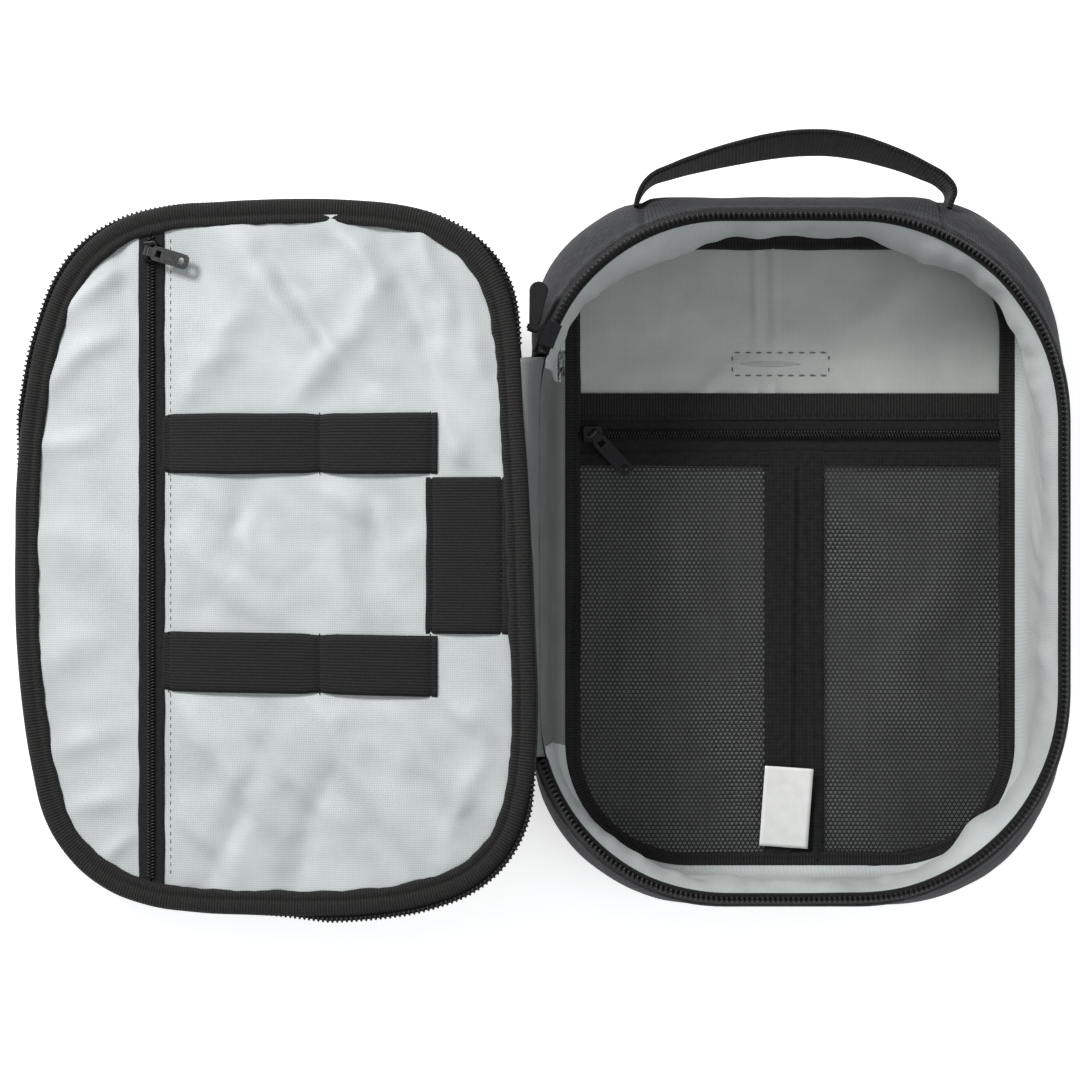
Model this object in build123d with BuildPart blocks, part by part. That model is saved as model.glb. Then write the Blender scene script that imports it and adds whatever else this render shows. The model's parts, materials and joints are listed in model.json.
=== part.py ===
"""Zipped organiser pouch for cables, lying open on its back.

A padded tray with box-like walls is closed by a padded lid, hinged along the
tray's left wall. +X runs from the hinge wall to the free wall, +Y to the carrying
handle and +Z up. The origin is the centre of the tray's back face, on the ground.
All sizes are in millimetres.
"""

import math
import os

from build123d import *

os.makedirs("parts", exist_ok=True)

# ---- driving sizes: the tray ----
RIM_WIDTH = 186.0  # across the tray's rim, hinge wall to free wall
RIM_LENGTH = 238.8  # along the tray's rim, top wall to bottom wall
WALL_TOP = 47.0  # height of the outer fabric's upper edge
RIM_HINGE_RADIUS = 68.0
RIM_FREE_RADIUS = 74.0
# Corner radii, anticlockwise from the hinge wall's bottom corner.
BASE_CORNERS = (50.0, 50.0, 42.0, 36.0)
BELLY_CORNERS = (57.0, 57.0, 52.0, 48.0)
SPINE_LEAN = 6.0  # how far the hinge wall leans out from base to rim
FREE_LEAN = 5.0
BOTTOM_LEAN = 1.4
TOP_TUCK = 2.6  # how far the top wall's foot stands out past the rim
BELLY_HEIGHT = 26.0  # where the walls bulge most
BELLY_TOP_BULGE = 5.6
BELLY_BOTTOM_BULGE = 1.0
BELLY_SPINE_TUCK = 2.0
BELLY_FREE_TUCK = 1.5

# ---- driving sizes: layers of cloth and foam ----
CLOTH = 1.0  # outer fabric
WALL_FOAM = 3.0
LINING = 0.8
PLY_GAP = 0.05  # between layers sewn on each other
BACK_FOAM = 3.5

# ---- driving sizes: the main zip ----
TAPE_THICK = 0.7
TAPE_LEAN_LOW = 1.2  # the tape's inset at its foot
TAPE_LEAN_HIGH = 2.6  # and at its upper edge
TAPE_RISE = 3.95
TEETH_INSET = 2.0
TEETH_WIDTH = 2.2
TEETH_HEIGHT = 1.95
ZIP_END_Y = 70.0  # the teeth end here, either side of the hinge
SLIDER_SWEEP = 7.6  # degrees of arc that the main slider covers
SLIDER_REST_ANGLE = 158.0
SLIDER_CLEAR = 0.4
SLIDER_WALL = 1.2
SLIDER_DROP = 1.4  # how far the slider's cheeks reach below the teeth's foot
LUG_LENGTH = 1.2  # the lug that carries the puller's pin stands out this far
LUG_HALF_HEIGHT = 1.5
LUG_EMBED = 0.4  # how deep the lug starts in the slider's cheek
PIN_EMBED = 0.2  # how deep the pin starts in the lug
PULLER_LENGTH = 16.0
PULLER_WIDTH = 6.4
PULLER_THICK = 2.0
PULLER_SPLAY = 14.0  # degrees outwards from the rim's line
PULLER_HUB_RADIUS = 1.6
PULLER_EDGE = 0.5
PULLER_NECK_INSET = 0.3  # the paddle is this much narrower than its hub on each side
PULLER_HUB_LENGTH = 3.6
PIN_RADIUS = 0.8
PIN_CLEAR = 0.06
SIDE_CLEAR = 0.3

# ---- driving sizes: the lid ----
HINGE_RISE = 10.0  # hinge line above the tray's fabric edge
LID_OVERHANG_X = 2.0  # lid past the tray's free edge when shut
LID_OVERHANG_Y = 4.6  # lid past the tray's rim at top and bottom
LID_HINGE_RADIUS = 62.0
LID_FREE_RADIUS = 72.0
LID_THICK = 8.0
LID_LINING = 0.6
HINGE_CLOTH = 0.5
HINGE_CLOTH_STOP = 2.5  # the inner hinge cloth ends this far short of the hinge line
HINGE_CLOTH_DROP = 60.0  # degrees below level, seen from the hinge line
BINDING_WIDTH = 5.4
BINDING_THICK = 1.15
SKIRT_INSET = 0.3
SKIRT_WIDTH = 2.0
SKIRT_TAPE_HEIGHT = 2.3
SKIRT_TEETH_HEIGHT = 1.9

# ---- driving sizes: the lid's zipped pocket and elastic loops ----
LID_ZIP_FROM_EDGE = 51.0  # pocket zip's line from the lid's free edge
LID_SLIDER_FROM_EDGE = 17.0  # slider's centre from the lid's top edge
ELASTIC_WIDTH = 21.0
ELASTIC_THICK = 1.2
ELASTIC_HINGE_MARGIN = 32.0
UPPER_ELASTIC_Y = 39.2
LOWER_ELASTIC_Y = -37.0
SIDE_BAND_WIDTH = 28.0
SIDE_BAND_LENGTH = 53.6
SIDE_BAND_SHIFT = -0.6  # from midway between the long elastics

# ---- driving sizes: coil zips of both pockets ----
SMALL_TAPE_HALF = 4.85
SMALL_TAPE_THICK = 0.6
TAPE_GAP = 0.3  # from the zip's line to each tape, under the coil
COIL_WIDTH = 3.4
COIL_HEIGHT = 1.4
SMALL_SLIDER_LENGTH = 7.0
SMALL_SLIDER_WALL = 0.9
SMALL_SLIDER_CLEAR = 0.35
SMALL_SLIDER_TOP = 0.8
SMALL_SLIDER_CORNER = 1.2
SMALL_SLIDER_EDGE = 0.35
CHEEK_GAP = 3.8
CHEEK_THICK = 0.8
CHEEK_LENGTH = 2.4
CHEEK_CAP = 0.4  # a cheek's height above the pin
CHEEK_EMBED = 0.2
PIVOT_RISE = 1.6  # pull's pin above the slider's top
SMALL_PIN_RADIUS = 0.55
SMALL_HUB_RADIUS = 1.15
TAB_THICK = 1.0
TAB_WIDTH = 5.2
TAB_CORNER = 1.6
TAB_NECK_GAP = 0.4  # from the cheeks to the tab's wide part
TAB_HOLE_RADIUS = 1.25
TAB_HOLE_FROM_END = 2.6
TAB_WINDOW = (2.2, 2.4)
TAB_WINDOW_FROM_NECK = 3.0
LID_TAB_LENGTH = 16.0
LID_TAB_TURN = -17.0  # degrees, where the lid's pull tab points
FLOOR_TAB_LENGTH = 19.0
FLOOR_TAB_TURN = -47.0

# ---- driving sizes: what is sewn on the tray's floor ----
FLOOR_BAND_WIDTH = 7.6
FLOOR_BAND_THICK = 1.55
POCKET_ZIP_FROM_TOP = 73.6  # pocket zip's line from the floor's top edge
POCKET_TAPE_UP = 5.0
POCKET_TAPE_DOWN = 7.4
HEADER_WIDTH = 9.6
POCKET_CLOTH = 1.0
DIVIDER_WIDTH = 21.3
DIVIDER_X = 2.0
FLOOR_SLIDER_FROM_EDGE = 4.6  # slider's centre from the floor band's inner edge
PATCH_WIDTH = 34.4
PATCH_HEIGHT = 8.1
PATCH_FROM_TOP = 48.5
PATCH_X = -2.8
LABEL_WIDTH = 17.2
LABEL_LENGTH = 28.5
LABEL_THICK = 0.5
LABEL_X = -4.0  # sewn edge's middle from the divider's
LABEL_FROM_BOTTOM = 9.6
LABEL_LEAN = -4.0  # degrees
LABEL_LIFT = 0.35

# ---- driving sizes: the handle ----
WEBBING_WIDTH = 20.0
WEBBING_THICK = 1.8
HANDLE_DROP = 19.0  # webbing's middle below the fabric's upper edge
HANDLE_LEFT_X = -55.0
# Bends of the webbing's middle: X from the left end, and Y out from the wall.
HANDLE_BENDS = ((0, -0.4), (6, 7.5), (34, 16), (64, 20.8), (87.4, 15.6), (110.8, 6), (108.4, -0.4))
HANDLE_BEND_RADII = (9, 40, 60, 60, 5)
HANDLE_WALL_GAP = 0.6  # from the wall's bulge to where the bends are measured
HANDLE_PIVOT_DEPTH = 3.0  # pivot line behind that place
HANDLE_PIVOT_RADIUS = 11.6  # the webbing is held still inside this radius
HANDLE_GAP = 0.4
SEAM_LEFT_X = -53.0
SEAM_RIGHT_X = 50.0

FAR = 400.0  # past everything, for cuts
DEEP = 20.0  # past everything above and below a flat piece

# ---- sizes that follow ----
half_width = RIM_WIDTH / 2
half_length = RIM_LENGTH / 2
wall_thick = CLOTH + WALL_FOAM + LINING + 2 * PLY_GAP
floor_z = CLOTH + BACK_FOAM + LINING + 3 * PLY_GAP  # what is sewn on the lining starts here
foam_z = CLOTH + PLY_GAP
lining_z = foam_z + BACK_FOAM + PLY_GAP

# An outline is (x low, x high, y low, y high, corner radii anticlockwise from x low, y low).
RIM = (
    -half_width,
    half_width,
    -half_length,
    half_length,
    (RIM_HINGE_RADIUS, RIM_FREE_RADIUS, RIM_FREE_RADIUS, RIM_HINGE_RADIUS),
)
BASE = (
    -half_width + SPINE_LEAN,
    half_width - FREE_LEAN,
    -half_length + BOTTOM_LEAN,
    half_length + TOP_TUCK,
    BASE_CORNERS,
)
BELLY = (
    -half_width + BELLY_SPINE_TUCK,
    half_width - BELLY_FREE_TUCK,
    -half_length - BELLY_BOTTOM_BULGE,
    half_length + BELLY_TOP_BULGE,
    BELLY_CORNERS,
)

tape_foot_z = WALL_TOP + PLY_GAP
teeth_z = tape_foot_z + TAPE_RISE + PLY_GAP
teeth_top_z = teeth_z + TEETH_HEIGHT

# The lid turns on the line where its inner face meets the hinge wall. Opened, its outer
# free edge lies on the ground, which sets the tilt.
hinge_x = -half_width
hinge_z = WALL_TOP + HINGE_RISE
lid_depth = RIM_WIDTH + LID_OVERHANG_X
lid_half_length = half_length + LID_OVERHANG_Y
lid_tilt = math.degrees(
    math.asin(hinge_z / math.hypot(lid_depth, LID_THICK)) - math.atan2(LID_THICK, lid_depth)
)
LID = (
    -lid_depth,
    0.0,
    -lid_half_length,
    lid_half_length,
    (LID_FREE_RADIUS, LID_HINGE_RADIUS, LID_HINGE_RADIUS, LID_FREE_RADIUS),
)
tilt = math.radians(lid_tilt)
# Local x runs up the open lid towards the hinge, local y is +Y and local z leaves the inner face.
lid_plane = Plane(
    origin=(hinge_x, 0, hinge_z),
    x_dir=(math.cos(tilt), 0, math.sin(tilt)),
    z_dir=(-math.sin(tilt), 0, math.cos(tilt)),
)

# Heights in the lid, measured from its inner face, so all are below 0 but the pull's.
lid_lining_top = -BINDING_THICK - SMALL_TAPE_THICK - 3 * PLY_GAP
lid_lining_foot = lid_lining_top - LID_LINING
lid_foam_top = lid_lining_foot - PLY_GAP
on_lid_lining = lid_lining_top + PLY_GAP
band_inset = SKIRT_INSET + SKIRT_WIDTH + SIDE_CLEAR  # the binding's outer edge
clear_inset = band_inset + BINDING_WIDTH + PLY_GAP  # what the binding leaves free
lid_zip_x = -lid_depth + LID_ZIP_FROM_EDGE


def turned(plane, degrees):
    """A plane turned in itself, anticlockwise seen from above."""
    axis = Axis(Vector(0, 0, 0), plane.z_dir)
    return Plane(origin=plane.origin, x_dir=plane.x_dir.rotate(axis, degrees), z_dir=plane.z_dir)


def rounded(shape, inset=0.0):
    """Draws an outline in the open sketch, moved inwards by inset."""
    x_low, x_high, y_low, y_high, radii = shape
    with Locations(((x_low + x_high) / 2, (y_low + y_high) / 2)):
        Rectangle(x_high - x_low - 2 * inset, y_high - y_low - 2 * inset)
    corners = ((x_low, y_low), (x_high, y_low), (x_high, y_high), (x_low, y_high))
    for corner, radius in zip(corners, radii):
        fillet(vertices().sort_by_distance(corner)[0], radius - inset)


def slab(shape, inset, low, high, mode=Mode.ADD, plane=Plane.XY):
    """A flat plate of an outline between two heights above a plane."""
    with BuildSketch(plane.offset(low)) as plate:
        rounded(shape, inset)
    extrude(plate.sketch, amount=high - low, mode=mode)


def ring(shape, outer, inner, low, high, plane=Plane.XY):
    """A flat band that follows an outline, between two insets and two heights."""
    slab(shape, outer, low, high, plane=plane)
    slab(shape, inner, low, high, mode=Mode.SUBTRACT, plane=plane)


def wall_block(inset, mode=Mode.ADD):
    """The space inside the tray's wall at an inset: foot, belly and rim in one loft."""
    sections = []
    for shape, height in ((BASE, 0.0), (BELLY, BELLY_HEIGHT), (RIM, WALL_TOP)):
        with BuildSketch(Plane.XY.offset(height)) as section:
            rounded(shape, inset)
        sections.append(section.sketch)
    loft(sections, ruled=True, mode=mode)


def wall_layer(outer, inner):
    """One layer of the tray's wall, standing on the back panel."""
    wall_block(outer)
    wall_block(inner, mode=Mode.SUBTRACT)
    trim(-FAR, FAR, -FAR, FAR, -DEEP, CLOTH + PLY_GAP)


def trim(x_low, x_high, y_low, y_high, z_low=-DEEP, z_high=FAR, plane=Plane.XY):
    """Cuts away everything in a box."""
    with BuildSketch(plane.offset(z_low)) as cut:
        with Locations(((x_low + x_high) / 2, (y_low + y_high) / 2)):
            Rectangle(x_high - x_low, y_high - y_low)
    extrude(cut.sketch, amount=z_high - z_low, mode=Mode.SUBTRACT)


def sheet(x_low, x_high, y_low, y_high, low, high, plane=Plane.XY):
    """A plain strip or sheet between two heights above a plane."""
    with BuildSketch(plane.offset(low)) as strip:
        with Locations(((x_low + x_high) / 2, (y_low + y_high) / 2)):
            Rectangle(x_high - x_low, y_high - y_low)
    extrude(strip.sketch, amount=high - low)


def keep_inside(shape, inset, plane=Plane.XY):
    """Keeps what lies inside an outline."""
    slab(shape, inset, -DEEP, DEEP, mode=Mode.INTERSECT, plane=plane)


def finish(piece, label):
    """Names a finished piece and writes it."""
    piece.part.label = label
    export_step(piece.part, "parts/" + label + ".step")


# ================= the tray's back: outer fabric, foam and lining =================

with BuildPart() as back_panel:
    slab(BASE, 0, 0, CLOTH)
finish(back_panel, "back_panel")

back_inset = wall_thick + PLY_GAP
with BuildPart() as back_foam:
    slab(BASE, back_inset, foam_z, foam_z + BACK_FOAM)
finish(back_foam, "back_foam")

with BuildPart() as back_lining:
    slab(BASE, back_inset, lining_z, lining_z + LINING)
finish(back_lining, "back_lining")

# ================= the tray's wall: four outer panels, foam, linings =================

half_seam = PLY_GAP / 2

with BuildPart() as gusset_top_panel:
    wall_layer(0, CLOTH)
    trim(-FAR, SEAM_LEFT_X + half_seam, -FAR, FAR)
    trim(SEAM_RIGHT_X - half_seam, FAR, -FAR, FAR)
    trim(-FAR, FAR, -FAR, 0)
finish(gusset_top_panel, "gusset_top_panel")

with BuildPart() as gusset_left_strip:
    wall_layer(0, CLOTH)
    trim(SEAM_LEFT_X - half_seam, FAR, -FAR, FAR)
    trim(-FAR, FAR, -FAR, ZIP_END_Y + half_seam)
finish(gusset_left_strip, "gusset_left_strip")

with BuildPart() as gusset_long_strip:
    wall_layer(0, CLOTH)
    trim(-FAR, SEAM_RIGHT_X + half_seam, 0, FAR)
    trim(-FAR, 0, -ZIP_END_Y - half_seam, FAR)
finish(gusset_long_strip, "gusset_long_strip")

with BuildPart() as spine_panel:
    wall_layer(0, CLOTH)
    trim(0, FAR, -FAR, FAR)
    trim(-FAR, FAR, -FAR, -ZIP_END_Y + half_seam)
    trim(-FAR, FAR, ZIP_END_Y - half_seam, FAR)
finish(spine_panel, "spine_panel")

foam_outer = CLOTH + PLY_GAP
foam_inner = foam_outer + WALL_FOAM
lining_outer = foam_inner + PLY_GAP

with BuildPart() as gusset_foam:
    wall_layer(foam_outer, foam_inner)
    trim(-FAR, 0, -ZIP_END_Y, ZIP_END_Y)
finish(gusset_foam, "gusset_foam")

with BuildPart() as spine_foam:
    wall_layer(foam_outer, foam_inner)
    trim(0, FAR, -FAR, FAR)
    trim(-FAR, FAR, -FAR, -ZIP_END_Y + PLY_GAP)
    trim(-FAR, FAR, ZIP_END_Y - PLY_GAP, FAR)
finish(spine_foam, "spine_foam")

with BuildPart() as gusset_lining:
    wall_layer(lining_outer, wall_thick)
    trim(-FAR, 0, -ZIP_END_Y, ZIP_END_Y)
finish(gusset_lining, "gusset_lining")

with BuildPart() as spine_lining:
    wall_layer(lining_outer, wall_thick)
    trim(0, FAR, -FAR, FAR)
    trim(-FAR, FAR, -FAR, -ZIP_END_Y + PLY_GAP)
    trim(-FAR, FAR, ZIP_END_Y - PLY_GAP, FAR)
finish(spine_lining, "spine_lining")

# The cloth hinge rises from the spine lining to just below the hinge line. It stays on
# the tray's side of everything that the lid sweeps.
hinge_drop = math.radians(HINGE_CLOTH_DROP)
cloth_top = (
    hinge_x + HINGE_CLOTH_STOP * math.cos(hinge_drop),
    hinge_z - HINGE_CLOTH_STOP * math.sin(hinge_drop),
)
cloth_foot = (hinge_x + wall_thick - LINING / 2, WALL_TOP + PLY_GAP)
straight_half = min(half_length - RIM_HINGE_RADIUS, lid_half_length - LID_HINGE_RADIUS)
with BuildPart() as hinge_cloth:
    with BuildSketch(Plane.XZ.offset(-straight_half)):
        with BuildLine():
            Polyline(
                (cloth_foot[0] - HINGE_CLOTH / 2, cloth_foot[1]),
                (cloth_foot[0] + HINGE_CLOTH / 2, cloth_foot[1]),
                (cloth_top[0] + HINGE_CLOTH / 2, cloth_top[1]),
                (cloth_top[0] - HINGE_CLOTH / 2, cloth_top[1]),
                close=True,
            )
        make_face()
    extrude(amount=2 * straight_half)
finish(hinge_cloth, "hinge_cloth")

# ================= the main zip's half on the tray =================

with BuildPart() as body_zip_tape:
    for ply, mode in ((0.0, Mode.ADD), (TAPE_THICK, Mode.SUBTRACT)):
        with BuildSketch(Plane.XY.offset(tape_foot_z)) as foot_line:
            rounded(RIM, TAPE_LEAN_LOW + ply)
        with BuildSketch(Plane.XY.offset(tape_foot_z + TAPE_RISE)) as upper_line:
            rounded(RIM, TAPE_LEAN_HIGH + ply)
        loft([foot_line.sketch, upper_line.sketch], ruled=True, mode=mode)
    trim(-FAR, 0, -ZIP_END_Y, ZIP_END_Y)
finish(body_zip_tape, "body_zip_tape")

with BuildPart() as body_zip_teeth:
    ring(RIM, TEETH_INSET, TEETH_INSET + TEETH_WIDTH, teeth_z, teeth_top_z)
    trim(-FAR, 0, -ZIP_END_Y, ZIP_END_Y)
finish(body_zip_teeth, "body_zip_teeth")

# The main slider is turned about the upright axis of the rim's corner, so it keeps the
# same clearance all the way round that corner.
corner_x = -half_width + RIM_HINGE_RADIUS
corner_y = half_length - RIM_HINGE_RADIUS
corner_axis = Axis((corner_x, corner_y, 0), (0, 0, 1))
teeth_r_out = RIM_HINGE_RADIUS - TEETH_INSET
teeth_r_in = teeth_r_out - TEETH_WIDTH
cheek_foot = teeth_z - SLIDER_DROP
slider_top = teeth_top_z + SLIDER_CLEAR + SLIDER_WALL
lug_r_in = teeth_r_out + SLIDER_CLEAR + SLIDER_WALL
lug_r_out = lug_r_in + LUG_LENGTH
pivot_z = teeth_z + PULLER_THICK / 4


def radial_plane(angle):
    """An upright plane through the corner's axis: x outwards, y up."""
    turn = math.radians(angle)
    return Plane(
        origin=(corner_x, corner_y, 0),
        x_dir=(math.cos(turn), math.sin(turn), 0),
        z_dir=(math.sin(turn), -math.cos(turn), 0),
    )


def swept_block(r_low, r_high, z_low, z_high, sweep, mode=Mode.ADD):
    """A block bent round the corner's axis, centred on the slider's rest angle."""
    with BuildSketch(radial_plane(SLIDER_REST_ANGLE - sweep / 2)) as section:
        with Locations(((r_low + r_high) / 2, (z_low + z_high) / 2)):
            Rectangle(r_high - r_low, z_high - z_low)
    revolve(section.sketch, axis=corner_axis, revolution_arc=sweep, mode=mode)


rest_turn = math.radians(SLIDER_REST_ANGLE)
outward = Vector(math.cos(rest_turn), math.sin(rest_turn), 0)
along_rim = Vector(math.sin(rest_turn), -math.cos(rest_turn), 0)
hub_r_in = lug_r_out + SIDE_CLEAR
pivot_origin = Vector(corner_x, corner_y, pivot_z)
pin_start = pivot_origin + outward * (lug_r_in + PIN_EMBED)
pin_length = hub_r_in + PULLER_HUB_LENGTH + SIDE_CLEAR - lug_r_in

with BuildPart() as main_zip_slider:
    swept_block(
        teeth_r_in - SLIDER_CLEAR - SLIDER_WALL,
        lug_r_in,
        cheek_foot,
        slider_top,
        SLIDER_SWEEP,
    )
    swept_block(
        teeth_r_in - SLIDER_CLEAR,
        teeth_r_out + SLIDER_CLEAR,
        cheek_foot - 1,
        teeth_top_z + SLIDER_CLEAR,
        SLIDER_SWEEP + 2,
        mode=Mode.SUBTRACT,
    )
    swept_block(
        lug_r_in - LUG_EMBED,
        lug_r_out,
        pivot_z - LUG_HALF_HEIGHT,
        pivot_z + LUG_HALF_HEIGHT,
        SLIDER_SWEEP / 2,
    )
    with BuildSketch(Plane(origin=pin_start, x_dir=along_rim, z_dir=outward)):
        Circle(PIN_RADIUS)
    extrude(amount=pin_length)
finish(main_zip_slider, "main_zip_slider")

# The puller is a flat paddle on a hub, which turns on the slider's pin.
hub_middle = pivot_origin + outward * (hub_r_in + PULLER_HUB_LENGTH / 2)
puller_plane = turned(Plane(origin=hub_middle, x_dir=along_rim, z_dir=(0, 0, 1)), PULLER_SPLAY)
with BuildPart() as main_zip_puller:
    with BuildSketch(puller_plane.offset(-PULLER_THICK / 2)):
        with BuildLine():
            neck = PULLER_HUB_LENGTH / 2 - PULLER_NECK_INSET
            head_x = PULLER_LENGTH - PULLER_WIDTH / 2
            Line((0, -neck), (head_x, -PULLER_WIDTH / 2))
            Line((0, neck), (head_x, PULLER_WIDTH / 2))
            Line((0, -neck), (0, neck))
            ThreePointArc(
                (head_x, -PULLER_WIDTH / 2), (PULLER_LENGTH, 0), (head_x, PULLER_WIDTH / 2)
            )
        make_face()
    extrude(amount=PULLER_THICK)
    fillet(edges().filter_by(Axis.Z, reverse=True).group_by(Axis.Z)[-1], PULLER_EDGE)
    hub_plane = Plane(
        origin=hub_middle - outward * (PULLER_HUB_LENGTH / 2), x_dir=along_rim, z_dir=outward
    )
    with BuildSketch(hub_plane):
        Circle(PULLER_HUB_RADIUS)
    extrude(amount=PULLER_HUB_LENGTH)
    with BuildSketch(hub_plane.offset(-1)):
        Circle(PIN_RADIUS + PIN_CLEAR)
    extrude(amount=PULLER_HUB_LENGTH + 2, mode=Mode.SUBTRACT)
finish(main_zip_puller, "main_zip_puller")

# ================= what is sewn on the tray's floor =================

floor_inset = back_inset + PLY_GAP
inside_band = floor_inset + FLOOR_BAND_WIDTH + PLY_GAP
floor_left, _, floor_bottom, floor_top, _ = BASE
zip_y = floor_top - floor_inset - POCKET_ZIP_FROM_TOP
tape_low_y = zip_y - POCKET_TAPE_DOWN
tape_high_y = zip_y + POCKET_TAPE_UP
divider_left = DIVIDER_X - DIVIDER_WIDTH / 2
divider_right = DIVIDER_X + DIVIDER_WIDTH / 2

with BuildPart() as floor_binding:
    ring(BASE, floor_inset, floor_inset + FLOOR_BAND_WIDTH, floor_z, floor_z + FLOOR_BAND_THICK)
finish(floor_binding, "floor_binding")

with BuildPart() as pocket_header_band:
    sheet(
        -FAR,
        FAR,
        tape_high_y + PLY_GAP,
        tape_high_y + HEADER_WIDTH,
        floor_z,
        floor_z + POCKET_CLOTH,
    )
    keep_inside(BASE, inside_band)
finish(pocket_header_band, "pocket_header_band")

with BuildPart() as pocket_zip_tape_upper:
    sheet(-FAR, FAR, zip_y + TAPE_GAP, tape_high_y, floor_z, floor_z + SMALL_TAPE_THICK)
    keep_inside(BASE, inside_band)
finish(pocket_zip_tape_upper, "pocket_zip_tape_upper")

with BuildPart() as pocket_zip_tape_lower:
    sheet(-FAR, FAR, tape_low_y, zip_y - TAPE_GAP, floor_z, floor_z + SMALL_TAPE_THICK)
    keep_inside(BASE, inside_band)
finish(pocket_zip_tape_lower, "pocket_zip_tape_lower")

coil_z = floor_z + SMALL_TAPE_THICK + PLY_GAP
with BuildPart() as pocket_zip_coil:
    sheet(-FAR, FAR, zip_y - COIL_WIDTH / 2, zip_y + COIL_WIDTH / 2, coil_z, coil_z + COIL_HEIGHT)
    keep_inside(BASE, inside_band)
finish(pocket_zip_coil, "pocket_zip_coil")

with BuildPart() as pocket_mesh_left:
    sheet(
        -FAR,
        divider_left - PLY_GAP,
        -FAR,
        tape_low_y - PLY_GAP,
        floor_z,
        floor_z + POCKET_CLOTH,
    )
    keep_inside(BASE, inside_band)
finish(pocket_mesh_left, "pocket_mesh_left")

with BuildPart() as pocket_mesh_right:
    sheet(
        divider_right + PLY_GAP,
        FAR,
        -FAR,
        tape_low_y - PLY_GAP,
        floor_z,
        floor_z + POCKET_CLOTH,
    )
    keep_inside(BASE, inside_band)
finish(pocket_mesh_right, "pocket_mesh_right")

with BuildPart() as pocket_divider:
    sheet(divider_left, divider_right, -FAR, tape_low_y - PLY_GAP, floor_z, floor_z + POCKET_CLOTH)
    keep_inside(BASE, inside_band)
finish(pocket_divider, "pocket_divider")

patch_y = floor_top - floor_inset - PATCH_FROM_TOP
with BuildPart() as stitched_patch:
    sheet(
        PATCH_X - PATCH_WIDTH / 2,
        PATCH_X + PATCH_WIDTH / 2,
        patch_y - PATCH_HEIGHT / 2,
        patch_y + PATCH_HEIGHT / 2,
        floor_z,
        floor_z + SMALL_TAPE_THICK,
    )
finish(stitched_patch, "stitched_patch")

label_y = floor_bottom + inside_band + LABEL_FROM_BOTTOM - FLOOR_BAND_WIDTH
label_z = floor_z + POCKET_CLOTH + LABEL_LIFT
label_plane = turned(
    Plane(origin=(DIVIDER_X + LABEL_X, label_y, label_z), x_dir=(1, 0, 0), z_dir=(0, 0, 1)), LABEL_LEAN
)
with BuildPart() as care_label:
    with BuildSketch(label_plane):
        Rectangle(LABEL_WIDTH, LABEL_LENGTH, align=(Align.CENTER, Align.MIN))
    extrude(amount=LABEL_THICK)
finish(care_label, "care_label")


# ================= sliders and pull tabs of the two pocket zips =================


def small_slider(plane, travel_turn, pull_turn):
    """A saddle over a coil, with two cheeks and a pin for its pull.

    The plane lies on top of the coil's tapes, its x axis pointing where the pull does
    when pull_turn is 0, and travel_turn is the direction of the coil.
    """
    half_inside = COIL_WIDTH / 2 + SMALL_SLIDER_CLEAR
    half_outside = half_inside + SMALL_SLIDER_WALL
    top = PLY_GAP + COIL_HEIGHT + SMALL_SLIDER_CLEAR + SMALL_SLIDER_TOP
    foot = SMALL_SLIDER_CLEAR
    along = turned(plane, travel_turn)
    with BuildSketch(along.offset(foot)) as saddle:
        RectangleRounded(SMALL_SLIDER_LENGTH, 2 * half_outside, SMALL_SLIDER_CORNER)
    extrude(saddle.sketch, amount=top - foot)
    upright = Axis(plane.origin, plane.z_dir)
    fillet(faces().sort_by(upright)[-1].edges(), SMALL_SLIDER_EDGE)
    with BuildSketch(along) as channel:
        Rectangle(SMALL_SLIDER_LENGTH + 2, 2 * half_inside)
    extrude(channel.sketch, amount=top - SMALL_SLIDER_TOP, mode=Mode.SUBTRACT)
    pull = turned(plane, pull_turn)
    cheek_height = PIVOT_RISE + SMALL_PIN_RADIUS + CHEEK_CAP
    with BuildSketch(pull.offset(top - CHEEK_EMBED)) as cheeks:
        with GridLocations(0, CHEEK_GAP + CHEEK_THICK, 1, 2):
            Rectangle(CHEEK_LENGTH, CHEEK_THICK)
    extrude(cheeks.sketch, amount=cheek_height + CHEEK_EMBED)
    pin_plane = Plane(
        origin=pull.from_local_coords((0, -(CHEEK_GAP + CHEEK_THICK) / 2, top + PIVOT_RISE)),
        x_dir=pull.x_dir,
        z_dir=pull.y_dir,
    )
    with BuildSketch(pin_plane) as pin:
        Circle(SMALL_PIN_RADIUS)
    extrude(pin.sketch, amount=CHEEK_GAP + CHEEK_THICK)


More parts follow.
